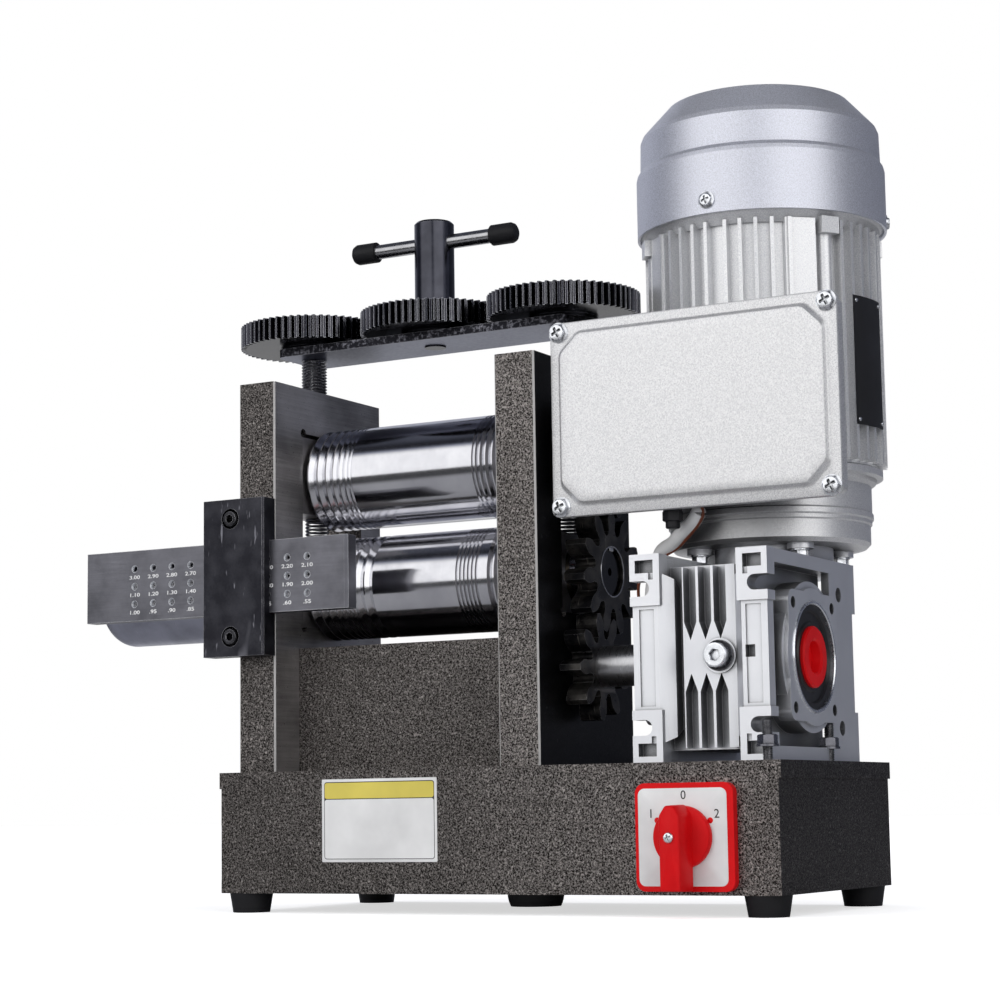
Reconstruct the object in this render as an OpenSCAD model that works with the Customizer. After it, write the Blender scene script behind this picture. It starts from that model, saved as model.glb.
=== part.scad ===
// Motor-driven jewellery rolling mill with a wire-drawing plate and drum.
// X runs along the base, Y to the back, Z up.  The origin lies on the floor under the middle of the base.

/* [Base] */
// Depth of the base box
base_w = 174; // [168:1:220]
// Height of the base box with its top plate
base_h = 74.5; // [60:0.5:100]
// How far the base reaches past the stand on the left
base_margin = 3; // [1:0.5:20]
// How far the base reaches past the gearbox on the right
gear_margin = 4; // [1:0.5:20]
// Thickness of the base's top plate
top_t = 10; // [6:0.5:14]
// How far the top plate overhangs each end
top_over = 1.5; // [0:0.5:4]
// Thickness of the base's walls
wall_t = 5; // [3:0.5:8]
// Thickness of the sheet that closes the base below
bottom_t = 3; // [2:0.5:5]
// Height of the rubber feet
foot_h = 12; // [8:1:20]
// Diameter of a foot where it meets the base
foot_d = 27; // [20:1:32]
// Diameter of a foot on the floor
foot_low_d = 23; // [16:1:28]
// Diameter of the rubber bumper under the middle of the base
bumper_d = 34; // [20:1:40]
// Height of the bumper
bumper_h = 8; // [5:0.5:11]

/* [Roll stand] */
// Clear width between the two side plates
stand_gap = 161; // [130:1:200]
// Thickness of a side plate
plate_t = 27.5; // [22:0.5:34]
// Depth of a side plate, front to back
plate_w = 127; // [110:1:150]
// Height of a side plate over its window
plate_head = 29.7; // [20:0.1:50]
// Distance of the side plates' front behind the base's front
stand_back = 15; // [4:1:20]
// Distance of the roll axes behind the side plates' front
axis_back = 67; // [62:1:80]
// Width of the window in a side plate
window_w = 70; // [69:0.5:80]
// Radius of the relief in each corner of a window
relief_r = 3; // [2:0.5:4]
// Height of the cross panels between the plates
panel_h = 79; // [60:1:82]
// Thickness of a cross panel
panel_t = 10; // [6:1:14]
// Distance of the front panel behind the side plates' front
panel_back = 27; // [10:1:40]
// Bevel along the side plates' upright edges
plate_bevel = 1; // [0.5:0.5:2]

/* [Rolls] */
// Diameter of a roll
roll_d = 66; // [54:1:67]
// Gap between the rolls
roll_gap = 6; // [4:0.5:8]
// Diameter of the necks that run in the bearings
neck_d = 38; // [30:1:42]
// Gap between a roll's body and the side plates
roll_side_gap = 1; // [0.5:0.5:3]
// Bevel at the ends of a roll's body
roll_bevel = 1.2; // [0.5:0.1:2]
// Width of the widest wire groove in the rolls
groove_wide = 6.2; // [4:0.1:7]
// Width of the flat land between two grooves
groove_land = 0.9; // [0.5:0.1:2]
// Thickness of a bearing block along the roll
chock_t = 22; // [16:1:24]
// Length of a bearing block from its roll's axis to its outer end
block_half = 26; // [24:0.5:32]
// Length of a bearing block from its roll's axis to its end at the springs
block_near = 24; // [23:0.5:26]
// Room over the upper bearing blocks for opening the rolls
open_room = 2.3; // [2:0.1:6]
// Wall of the bronze bushes
bush_t = 3; // [2:0.5:4]
// Running gap of necks, spindles and the output shaft
run_gap = 0.05; // [0.02:0.01:0.1]
// Gap of a bearing block to the window's sides
slide_gap = 0.3; // [0.2:0.1:0.6]
// Radius of a lift spring
spring_r = 8; // [5:0.5:9]
// Thickness of a lift spring's wire
spring_wire = 2; // [1.5:0.5:3]

/* [Roll gears] */
// Teeth on each roll gear
roll_teeth = 11; // [11:2:13]
// Teeth on the drive pinion
pinion_teeth = 9; // [9:1:11]
// Face width of the roll gears
roll_gear_t = 14; // [10:1:16]
// Gap between a side plate and its roll gear
roll_gear_gap = 3; // [2:0.5:6]
// Height of a tooth outside the pitch circle, in modules
tooth_out = 0.93; // [0.9:0.01:0.95]
// Depth of a tooth space inside the pitch circle, in modules
tooth_in = 1.74; // [1.3:0.01:1.76]
// Pressure angle of the gears in degrees
pressure = 20; // [14.5:0.5:25]
// Radius of the shaft end that carries a roll gear
stub_r = 15; // [12:0.5:16]

/* [Wire drawing] */
// Diameter of the winding drum
drum_d = 59; // [50:1:62]
// Length of the winding drum
drum_l = 147; // [120:1:160]
// Radius of the drum's outer edge
drum_r = 16; // [8:1:20]
// Length of the draw plate
draw_l = 204; // [190:1:230]
// Height of the draw plate
draw_h = 46; // [44:1:60]
// Thickness of the draw plate
draw_t = 10; // [8:0.5:12]
// Depth of the groove that seats the draw plate
draw_seat = 4; // [2:0.5:5]
// How far the draw plate reaches past the side plate on the left
draw_out = 118; // [100:1:130]
// Height of the draw plate's middle over the lower roll's axis
draw_rise = 4; // [0:0.5:10]
// Distance of the first die from the plate's left end
die_start = 39; // [20:1:50]
// Distance of the top row of dies under the plate's top
die_down = 12; // [8:0.5:14]
// Spacing of the die columns
die_pitch = 15; // [14:0.1:16]
// Spacing of the die rows
die_row = 11.5; // [11:0.1:13]
// Columns of dies
die_columns = 10; // [4:1:10]
// Depth of the funnel in front of each die
die_funnel = 1.6; // [1:0.1:3]
// Radius of the funnel in front of each die
die_funnel_r = 2.3; // [2:0.1:4]
// Radius of the lead-in behind each die
die_sink_r = 4.5; // [4:0.1:5]
// Height of the clamp block
clamp_h = 100; // [90:1:120]
// Width of the clamp block
clamp_w = 46; // [44:1:52]
// Thickness of the clamp block in front of the plate
clamp_t = 13; // [12:0.5:16]
// Spacing of the two screws in the clamp block
clamp_pitch = 75; // [60:1:90]

/* [Screw-down] */
// How far the bridge plate reaches past the two screws
bridge_end = 13.5; // [12:0.5:25]
// Thickness of the bridge plate
bridge_t = 5.5; // [5:0.5:8]
// Width of the bridge plate
bridge_w = 50; // [46:1:60]
// Height of the bridge plate's underside over the side plates
bridge_lift = 24.5; // [14:0.5:28]
// Teeth on each adjusting gear
adjust_teeth = 60; // [54:2:64]
// Face width of an adjusting gear
adjust_t = 14.5; // [8:0.5:16]
// Height of a gear's hub over the bridge plate
hub_h = 2; // [1:0.5:5]
// Diameter of a gear's hub
hub_d = 44; // [34:1:50]
// Diameter of an adjusting screw
screw_d = 17; // [14:1:20]
// Diameter of the spindles in the bridge plate
spindle_d = 14; // [10:1:16]
// Diameter of the T-handle's post
post_d = 26; // [20:1:30]
// Height of the post over its gear
post_h = 60; // [50:1:80]
// Length of the T-handle's bar
bar_l = 119; // [110:1:140]
// Diameter of the bar
bar_d = 9.5; // [7:0.5:12]
// Height of the bar over the middle gear
bar_rise = 46; // [30:1:60]
// Diameter of a rubber cap on the bar
cap_d = 13.5; // [12:0.5:18]
// Length of a rubber cap
cap_l = 18; // [14:1:24]

/* [Gearbox] */
// Distance of the gearbox's front behind the base's front
gear_back = 9; // [4:1:12]
// Height of the gearbox
gear_h = 120; // [110:1:130]
// Depth of the gearbox
gear_w = 139; // [134:1:146]
// Width of the gearbox across its output flanges
gear_l = 92; // [88:1:98]
// Distance of the output shaft behind the gearbox's front
wheel_back = 60; // [58:1:62]
// Distance of the motor shaft behind the output shaft
centre_d = 50; // [50:0.5:52]
// Diameter of the output shaft
shaft_d = 25; // [20:1:28]
// Bolt circle of the output flange
flange_pcd = 85; // [80:1:88]
// Radius of the tapped holes in the output flange
flange_hole_r = 3.4; // [3:0.1:4]
// Radius of the output flange's seal
seal_r = 31; // [28:0.5:33]
// Height of the slots in the mounting lugs over and under the output shaft
slot_z = 40; // [38:0.5:42]
// Distance of the slots from the gearbox's middle
slot_x = 35; // [34:0.5:37]
// Width of the slots
slot_w = 9; // [7:0.5:10]

/* [Motor] */
// Gap between the right adjusting gear and the motor's fins
motor_clear = 5; // [5:0.5:10]
// Radius over the motor's fins
fin_r = 72.5; // [70:0.5:75]
// Radius of the motor's barrel under its fins
barrel_r = 66; // [62:1:68]
// Thickness of a fin
fin_t = 2.2; // [1.5:0.1:3]
// Height of the finned body
body_h = 152; // [130:1:180]
// Radius of the fan cowl's lower band
cowl_r = 77; // [76:1:80]
// Height of the fan cowl
cowl_h = 81.5; // [74:0.5:90]
// Wall of the fan cowl
cowl_t = 1.5; // [1:0.1:2]
// Width of the terminal box
box_l = 184.5; // [170:0.5:190]
// Height of the terminal box
box_h = 118.5; // [110:0.5:126]
// Distance of the terminal box's cover in front of the motor's fins
box_out = 23; // [18:1:26]
// Height of the terminal box's raised panel
panel_up = 3.5; // [2:0.5:5]

/* [Switch] */
// Side of the switch plate
switch_s = 60.5; // [54:0.5:62]
// Thickness of the switch plate
switch_t = 5; // [4:0.5:10]
// Distance of the switch's axis left of the base's right end
switch_in = 55.5; // [40:0.5:70]
// Height of the switch over the floor
switch_z = 44.5; // [44:0.5:50]
// Radius of the knob's disc
knob_r = 17.5; // [14:0.5:19]
// Width of the knob's lever
lever_w = 13.4; // [10:0.1:16]
// Height of the lever's front over the switch plate
lever_h = 20.5; // [14:0.5:24]
// Length of the lever below the knob's axis
lever_l = 30; // [24:0.5:31]

/* [Hidden] */
$fn = 64;
fit = 0.01;                                      // room in a press fit, and how far a cut starts outside

// screw-down gears and the motor beside them set the length of the machine
screw_pitch = stand_gap + plate_t;               // between the two screws
adjust_pitch_r = screw_pitch/4;
adjust_module = 2*adjust_pitch_r/adjust_teeth;
adjust_tip_r = adjust_pitch_r + adjust_module;
adjust_root_r = adjust_pitch_r - 1.25*adjust_module;
front_y = -base_w/2;
plate_y = front_y + stand_back;                  // front of the side plates
axis_y = plate_y + axis_back;                    // plane of the roll axes and screws
box_y = front_y + gear_back;                     // front of the gearbox
wheel_y = box_y + wheel_back;                    // output shaft
motor_y = wheel_y + centre_d;                    // motor shaft
motor_right = sqrt(pow(fin_r + adjust_tip_r + motor_clear, 2) - pow(motor_y - axis_y, 2));
base_l = base_margin + plate_t/2 + screw_pitch + motor_right + gear_l/2 + gear_margin;
left_x = -base_l/2 + base_margin + plate_t;      // inner face of the left plate
right_x = left_x + stand_gap;                    // inner face of the right plate
left_screw_x = left_x - plate_t/2;
right_screw_x = right_x + plate_t/2;
centre_x = (left_screw_x + right_screw_x)/2;
gear_x = right_screw_x + motor_right;            // middle of the gearbox and motor
// heights: the lower roll's gear meshes with the pinion on the output shaft
base_z = foot_h + base_h;                        // top of the base
wheel_z = base_z + gear_h/2;
roll_pitch_r = (roll_d + 0.5)/2;
tooth_module = 2*roll_pitch_r/roll_teeth;
pinion_pitch_r = tooth_module*pinion_teeth/2;
low_z = wheel_z + sqrt(pow(roll_pitch_r + pinion_pitch_r, 2) - pow(axis_y - wheel_y, 2));
up_z = low_z + roll_d + roll_gap;
window_z0 = low_z - block_half;
window_z1 = up_z + block_half + open_room;
plate_top = window_z1 + plate_head;
// bearings
block_in = 1;                                    // from a plate's inner face to its blocks
neck_r = neck_d/2;
bush_r = neck_r + run_gap + bush_t;
left_block_x = left_x - block_in - chock_t;
right_block_x = right_x + block_in;
block_xs = [left_block_x, right_block_x];
neck_end = block_in + chock_t + 1;               // neck length past a plate's inner face
spring_h = up_z - low_z - 2*block_near;
gear_start = right_x + plate_t + roll_gear_gap;
stub_len = gear_start - right_x + roll_gear_t - 2;
drum_end = left_x - plate_t - 2 - drum_l;
drum_bore = 20;
// draw plate
draw_z = low_z + draw_rise - draw_h/2;
draw_x = left_x - plate_t - draw_out;
draw_y = plate_y + draw_seat - draw_t;           // front of the draw plate
die_x = draw_x + die_start;
die_z = draw_z + draw_h - die_down;
clamp_x = left_x - clamp_w;
// screw-down
spindle_r = spindle_d/2;
screw_z = up_z + block_half + 0.1;
bridge_z = plate_top + bridge_lift;
hub_z = bridge_z + bridge_t + 0.3;
adjust_z = hub_z + hub_h;
adjust_top = adjust_z + adjust_t;
bar_z = adjust_top + bar_rise;
// motor and terminal box
box_top = base_z + gear_h;
flange_z = box_top + 9;
body_z = flange_z + 47;
cowl_z = body_z + body_h;
cover_t = 4;
box_front = motor_y - fin_r - box_out;           // front of the terminal box's cover
box_z = flange_z + 18;
box_x0 = gear_x - box_l/2 - 8;
cable_d = 9;
cable_path = [[123, -41, 233], [119, -40, 228], [110, -36, 222.5], [100, -28, 217.5], [89.5, -21, 214], [84, -17, 205],
    [79, -14, 190], [76, -7, 167], [76, 2, 142], [76, 9, 118], [76, 14, 102], [76, 14, base_z - top_t + cable_d/2]];
cable_end = cable_path[len(cable_path) - 1];
// switch
switch_x = base_l/2 - switch_in;
pin_r = 4;

function involute(a) = tan(a) - a*PI/180;
function flank(r, pitch_r, teeth, slack) =
    let (base_r = pitch_r*cos(pressure), a = acos(min(1, base_r/max(r, base_r))))
    90/teeth - slack/pitch_r*90/PI + (involute(pressure) - involute(a))*180/PI;
// Outline of a spur gear: each tooth's two flanks at the given radii, root to tip and back
function gear_points(teeth, pitch_r, radii, slack) = [for (i = [0:teeth - 1]) each concat(
    [for (r = radii) let (a = i*360/teeth - flank(r, pitch_r, teeth, slack)) r*[cos(a), sin(a)]],
    [for (k = [len(radii) - 1:-1:0]) let (r = radii[k], a = i*360/teeth + flank(r, pitch_r, teeth, slack))
        r*[cos(a), sin(a)]])];

// Turns a shape drawn along Z so that it runs along X
module along_x() rotate([90, 0, 90]) children();
// Turns a shape drawn along Z so that it runs along Y, to the back
module along_y() rotate([-90, 0, 0]) children();
// Upright slab drawn in X and Z, its front at the given Y
module upright(y, t) translate([0, y + t, 0]) rotate([90, 0, 0]) linear_extrude(t) children();
// Rectangle with round corners, its middle at the origin
module round_rect(size, r) {
    square([size.x - 2*r, size.y], center = true);
    square([size.x, size.y - 2*r], center = true);
    for (x = [-1, 1], y = [-1, 1]) translate([x*(size.x/2 - r), y*(size.y/2 - r)]) circle(r = r);
}

// base
wall_z = foot_h + bottom_t;
wall_h = base_h - bottom_t - top_t;
module base_top() color("#2c2a28") difference() {
    translate([-base_l/2 - top_over, front_y, base_z - top_t]) cube([base_l + 2*top_over, base_w, top_t]);
    translate([cable_end.x, cable_end.y, base_z - top_t - 1]) cylinder(h = top_t + 2, d = cable_d + 1);
}
module base_front() color("#2c2a28") difference() {
    translate([-base_l/2, front_y, wall_z]) cube([base_l, wall_t, wall_h]);
    translate([switch_x, front_y - 1, switch_z]) along_y() cylinder(h = wall_t + 2, r = 11);
}
module base_rear() color("#2c2a28") translate([-base_l/2, -front_y - wall_t, wall_z])
    cube([base_l, wall_t, wall_h]);
module end_wall() translate([0, front_y + wall_t, wall_z]) cube([wall_t, base_w - 2*wall_t, wall_h]);
module base_left_end() color("#2c2a28") translate([-base_l/2, 0, 0]) end_wall();
module base_right_end() color("#2c2a28") translate([base_l/2 - wall_t, 0, 0]) end_wall();
module base_bottom() color("#b9bcc0") translate([-base_l/2, front_y, foot_h]) cube([base_l, base_w, bottom_t]);
module rubber_feet() color("#141414") {
    for (x = [-1, 1], y = [-1, 1]) translate([x*(base_l/2 - foot_d/2), y*(base_w/2 - foot_d/2), 0])
        cylinder(h = foot_h, d1 = foot_low_d, d2 = foot_d);
    translate([15, front_y + 37, foot_h]) intersection() {
        sphere(d = bumper_d);
        translate([0, 0, -bumper_h]) cylinder(h = bumper_h, d = bumper_d);
    }
}

// roll stand
module side_plate(x) difference() {
    translate([x, plate_y, base_z]) linear_extrude(plate_top - base_z) polygon([
        [plate_bevel, 0], [plate_t - plate_bevel, 0], [plate_t, plate_bevel], [plate_t, plate_w - plate_bevel],
        [plate_t - plate_bevel, plate_w], [plate_bevel, plate_w], [0, plate_w - plate_bevel], [0, plate_bevel]]);
    translate([x - 1, axis_y - window_w/2, window_z0]) cube([plate_t + 2, window_w, window_z1 - window_z0]);
    for (y = [-1, 1], z = [window_z0, window_z1]) translate([x - 1, axis_y + y*(window_w/2 - 1), z])
        along_x() cylinder(h = plate_t + 2, r = relief_r);
    translate([x + plate_t/2, axis_y, window_z1 - 1])
        cylinder(h = plate_head + 2, r = screw_d/2 + run_gap);
}
module left_side_plate() color("#34322f") difference() {
    side_plate(left_x - plate_t);
    translate([left_x - plate_t - 1, plate_y - 1, draw_z]) cube([plate_t + 2, draw_seat + 1, draw_h]);
}
module right_side_plate() color("#34322f") side_plate(right_x);
module cross_panel(y) translate([left_x, y, base_z]) cube([stand_gap, panel_t, panel_h]);
module front_panel() color("#34322f") cross_panel(plate_y + panel_back);
module rear_panel() color("#34322f") cross_panel(plate_y + plate_w - 8 - panel_t);

// bearings, with a lift spring between the two blocks of each side
module bearing_block(x, z0, axis_z) difference() {
    translate([x, axis_y - window_w/2 + slide_gap, z0])
        cube([chock_t, window_w - 2*slide_gap, block_half + block_near]);
    translate([x - 1, axis_y, axis_z]) along_x() cylinder(h = chock_t + 2, r = bush_r + 2*fit);
}
module lower_bearing_blocks() color("#4a4a4c") for (x = block_xs) bearing_block(x, window_z0, low_z);
module upper_bearing_blocks() color("#4a4a4c") for (x = block_xs) bearing_block(x, up_z - block_near, up_z);
module bush(x, z) translate([x, axis_y, z]) along_x() difference() {
    cylinder(h = chock_t, r = bush_r);
    translate([0, 0, -1]) cylinder(h = chock_t + 2, r = neck_r + run_gap);
}
module lower_bushes() color("#b08a3e") for (x = block_xs) bush(x, low_z);
module upper_bushes() color("#b08a3e") for (x = block_xs) bush(x, up_z);
module lift_springs() color("#c8c8c8") for (x = block_xs)
    translate([x + chock_t/2, axis_y, low_z + block_near]) difference() {
        cylinder(h = spring_h, r = spring_r);
        translate([0, 0, -1]) cylinder(h = spring_h + 2, r = spring_r - spring_wire);
    }

// Rolls.  Square-wire grooves are cut from both ends, each 0.75 mm narrower than the one outside it.
// A groove is [place of its outer edge on the roll, width].
roll_l = stand_gap - 2*roll_side_gap;
groove_step = 0.75;
function groove_run(start, way, widths) = [for (i = 0, at = start; i < len(widths);
    at = at + way*(widths[i] + groove_land), i = i + 1) [way > 0 ? at : at - widths[i], widths[i]]];
function narrowing(count, wide) = [for (i = [0:count - 1]) wide - i*groove_step];
function fine_grooves(count, wide) = [for (i = [1:count]) wide];
left_grooves = groove_run(roll_bevel + groove_land, 1, narrowing(7, groove_wide));
right_grooves = groove_run(roll_l - roll_bevel - groove_land, -1, narrowing(7, groove_wide));
low_left = concat(left_grooves, groove_run(roll_l*0.237, 1, fine_grooves(2, groove_wide - 0.4)));
low_right = concat(groove_run(roll_l - roll_bevel - groove_land, -1, narrowing(4, groove_wide)),
    groove_run(roll_l*0.8, -1, fine_grooves(6, 1.9)));
function groove_points(g) = [[roll_d/2, g[0]], [roll_d/2 - g[1]/2, g[0] + g[1]/2], [roll_d/2, g[0] + g[1]]];
// grooves are listed from the left: the right-hand run is turned round
function turned(list) = [for (i = [len(list) - 1:-1:0]) list[i]];
module roll_body(left, right) rotate_extrude() polygon(concat(
    [[0, 0], [roll_d/2 - roll_bevel, 0], [roll_d/2, roll_bevel]],
    [for (g = left) each groove_points(g)], [for (g = turned(right)) each groove_points(g)],
    [[roll_d/2, roll_l - roll_bevel], [roll_d/2 - roll_bevel, roll_l], [0, roll_l]]));
module roll(z, left, right) translate([0, axis_y, z]) {
    translate([left_x + roll_side_gap, 0, 0]) along_x() roll_body(left, right);
    translate([left_x - neck_end, 0, 0]) along_x() cylinder(h = stand_gap + 2*neck_end, r = neck_r);
    translate([right_x, 0, 0]) along_x() difference() {
        cylinder(h = stub_len, r = stub_r);
        translate([0, 0, stub_len - 4]) cylinder(h = 5, r = 2.5);
    }
}
module lower_roll() color("#d5d7da") {
    roll(low_z, low_left, low_right);
    translate([drum_end + drum_l - drum_bore, axis_y, low_z]) along_x()
        cylinder(h = left_x - drum_end - drum_l + drum_bore, r = stub_r);
}
module upper_roll() color("#d5d7da") roll(up_z, left_grooves, right_grooves);
module winding_drum() color("#bfc1c3") translate([drum_end, axis_y, low_z]) along_x() difference() {
    rotate_extrude() {
        translate([0, drum_r]) square([drum_d/2, drum_l - drum_r]);
        square([drum_d/2 - drum_r, drum_l]);
        intersection() {
            translate([drum_d/2 - drum_r, drum_r]) circle(r = drum_r);
            square([drum_d/2, drum_l]);
        }
    }
    translate([0, 0, drum_l - drum_bore]) cylinder(h = drum_bore + 1, r = stub_r + fit);
}

// draw plate: three rows of round dies, 3.0 to 2.1 mm, 1.1 to 2.0 mm and 1.0 to 0.55 mm
function die_size(row, i) = row == 0 ? 3 - 0.1*i : row == 1 ? 1.1 + 0.1*i : 1 - 0.05*i;
module die(d) {
    translate([0, 0, -1]) cylinder(h = draw_t + 2, d = d);
    translate([0, 0, -fit]) cylinder(h = die_sink_r - 0.5, r1 = die_sink_r, r2 = 0.5);
    translate([0, 0, draw_t - die_funnel]) cylinder(h = die_funnel + fit, r1 = 1.5, r2 = die_funnel_r);
}
module draw_plate() color("#8a8c90") difference() {
    translate([draw_x, draw_y, draw_z]) linear_extrude(draw_h)
        polygon([[0, 0], [draw_l - 2.5, 0], [draw_l, 1], [draw_l, draw_t], [0, draw_t]]);
    for (row = [0:2], i = [0:die_columns - 1])
        translate([die_x + i*die_pitch, draw_y + draw_t, die_z - row*die_row]) rotate([90, 0, 0])
            die(die_size(row, i));
}
module clamp_block() color("#1d1f23") difference() {
    translate([clamp_x, plate_y - clamp_t, draw_z + draw_h/2 - clamp_h/2]) linear_extrude(clamp_h)
        polygon([[0, 0], [clamp_w - 1, 0], [clamp_w, 1], [clamp_w, clamp_t], [0, clamp_t]]);
    translate([clamp_x - 1, draw_y, draw_z]) cube([clamp_w + 2, clamp_t, draw_h]);
    for (z = [-1, 1]) translate([clamp_x + clamp_w*0.45, plate_y - clamp_t - 1, draw_z + draw_h/2 + z*clamp_pitch/2])
        along_y() cylinder(h = 8, r = 6.5);
}

// screw-down
half_pitch = 180/adjust_teeth;
module adjust_gear(x, turn) translate([x, axis_y, 0]) difference() {
    union() {
        translate([0, 0, adjust_z]) rotate(turn) linear_extrude(adjust_t)
            polygon(gear_points(adjust_teeth, adjust_pitch_r, [adjust_root_r, adjust_pitch_r, adjust_tip_r], 0.15));
        translate([0, 0, hub_z]) cylinder(h = hub_h + 1, d = hub_d);
    }
    translate([0, 0, hub_z - 1]) cylinder(h = hub_h + adjust_t + 2, r = spindle_r + fit);
}
module left_adjust_gear() color("#17181a") adjust_gear(left_screw_x, half_pitch);
module centre_adjust_gear() color("#17181a") adjust_gear(centre_x, 0);
module right_adjust_gear() color("#17181a") adjust_gear(right_screw_x, half_pitch);
module spindle() translate([0, 0, bridge_z - 1]) cylinder(h = adjust_top - bridge_z + 1, r = spindle_r);
module adjust_screw(x) translate([x, axis_y, 0]) {
    translate([0, 0, screw_z]) cylinder(h = bridge_z - 0.1 - screw_z, d = screw_d);
    spindle();
}
module left_adjust_screw() color("#1b1b1d") adjust_screw(left_screw_x);
module right_adjust_screw() color("#1b1b1d") adjust_screw(right_screw_x);
module bridge_plate() color("#2b2d31") difference() {
    translate([centre_x, axis_y, bridge_z]) linear_extrude(bridge_t) {
        round_rect([screw_pitch + 2*bridge_end, bridge_w], 6);
    }
    for (x = [left_screw_x, centre_x, right_screw_x]) translate([x, axis_y, bridge_z - 1])
        cylinder(h = bridge_t + 2, r = spindle_r + run_gap);
}
module t_handle() color("#1b1b1d") difference() {
    translate([centre_x, axis_y, 0]) {
        spindle();
        translate([0, 0, adjust_top]) rotate_extrude() polygon([[0, 0], [post_d/2, 0], [post_d/2, post_h - 1.5],
            [post_d/2 - 1.5, post_h], [0, post_h]]);
    }
    translate([centre_x - post_d/2 - 1, axis_y, bar_z]) along_x() cylinder(h = post_d + 2, d = bar_d + 2*fit);
}
module handle_bar() color("#c4c6c9") translate([centre_x - bar_l/2, axis_y, bar_z]) along_x()
    cylinder(h = bar_l, d = bar_d);
module handle_caps() color("#101010") for (side = [-1, 1]) translate([centre_x, axis_y, bar_z])
    rotate([0, 90*side, 0]) translate([0, 0, bar_l/2 - cap_l + 2]) rotate_extrude() polygon([
        [bar_d/2 + fit, 0], [cap_d/2 - 0.5, 0], [cap_d/2, 0.5], [cap_d/2, cap_l - 3.5], [cap_d/2 - 1, cap_l - 1.4],
        [cap_d/2 - 2.6, cap_l - 0.3], [cap_d/2 - 4, cap_l], [0, cap_l], [0, cap_l - 2], [bar_d/2 + fit, cap_l - 2]]);

// roll gears: slender teeth with round-bottomed gaps, so that they stay in mesh over the rolls' whole travel
mesh_angle = atan2(low_z - wheel_z, axis_y - wheel_y);
module spur_gear(teeth, pitch_r, bore_r) difference() {
    linear_extrude(roll_gear_t) polygon(gear_points(teeth, pitch_r,
        [pitch_r - tooth_in*tooth_module + 2.4, pitch_r*cos(pressure), pitch_r, pitch_r + tooth_out*tooth_module/2,
            pitch_r + tooth_out*tooth_module - 0.6, pitch_r + tooth_out*tooth_module], 0.4));
    for (i = [0:teeth - 1]) rotate((i + 0.5)*360/teeth)
        translate([pitch_r - tooth_in*tooth_module + 2.6, 0, -1]) cylinder(h = roll_gear_t + 2, r = 2.6);
    translate([0, 0, -1]) cylinder(h = roll_gear_t + 2, r = bore_r + fit);
}
module roll_gear(z) translate([gear_start, axis_y, z]) along_x() rotate(90)
    spur_gear(roll_teeth, roll_pitch_r, stub_r);
module lower_roll_gear() color("#232327") roll_gear(low_z);
module upper_roll_gear() color("#232327") roll_gear(up_z);
module drive_pinion() color("#232327") translate([gear_start, wheel_y, wheel_z]) along_x()
    rotate(mesh_angle + 180/pinion_teeth + (mesh_angle + 180 - 90)*roll_teeth/pinion_teeth)
        spur_gear(pinion_teeth, pinion_pitch_r, shaft_d/2);
module output_shaft() color("#c9ccd0") translate([gear_start, wheel_y, wheel_z]) along_x()
    cylinder(h = gear_x - gear_start + 20, d = shaft_d);

// Worm gearbox, one casting.  Drawn from its front and its output shaft: X across, Y back, Z up.
half_l = gear_l/2;
half_h = gear_h/2;
lug_x = half_l - 3;                              // outer side of the mounting lugs
lug_in = 24;                                     // inner side of the lugs
lug_z = 30;                                      // from the shaft to a lug's inner end
lug_t = 11;
cheek_x = 30;                                    // the casting's recessed sides
valley_x = 19;                                   // half width of the finned valley between the rails
valley_y = 18;                                   // depth of the grooves between the fins
fin_y = 9.5;                                     // depth of the fins' tips
fin_pitch = 9.4;
groove_half = 3.9;                               // half width of a pointed groove
plug_x = 9;
motor_back = wheel_back + centre_d;
neck_bolt = 46*sqrt(0.5);                        // the motor's bolts, from its shaft along X and Y
// the slot and the hooked pocket of one lug
module lug_cuts() {
    translate([slot_x, -1, slot_z]) along_y() cylinder(h = lug_t + 2, d = slot_w);
    translate([slot_x, -1, slot_z - slot_w/2]) cube([lug_x, lug_t + 2, slot_w]);
    translate([lug_in + 4, -1, half_h - 11]) cube([11.5, 7, 7.5]);
    translate([lug_in + 4, -1, half_h - 15]) cube([3, 7, 5]);
}
module lug() difference() {
    translate([lug_in, 0, lug_z]) cube([lug_x - lug_in, lug_t, half_h - lug_z]);
    lug_cuts();
}
// the front rail with its slanted inner flank
module rail() difference() {
    translate([0, 0, -half_h + 2]) linear_extrude(gear_h - 4) polygon([[lug_x - 1, 1.5], [lug_in + 2, 1.5],
        [valley_x, fin_y], [valley_x, valley_y + 4], [cheek_x, valley_y + 4], [cheek_x, 13], [lug_x - 1, 10]]);
    translate([lug_in + 4.5, 0, -lug_z + 2]) cube([9.5, 2.5, 2*lug_z - 4]);
    for (z = [-1, 1]) {
        translate([slot_x, 0, z*slot_z]) along_y() cylinder(h = 15, d = slot_w);
        translate([slot_x, 0, z*slot_z - slot_w/2]) cube([lug_x, 15, slot_w]);
        translate([lug_in + 4, 0, z*(half_h - 7.25) - 3.75]) cube([11.5, 6, 7.5]);
    }
    translate([0, -1, half_h - 9]) rotate([-28, 0, 0]) translate([0, 0, 0]) cube([lug_in + 1, 40, 30]);
    translate([0, -1, -half_h + 9]) rotate([28, 0, 0]) translate([0, 0, -30]) cube([lug_in + 1, 40, 30]);
}
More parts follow.
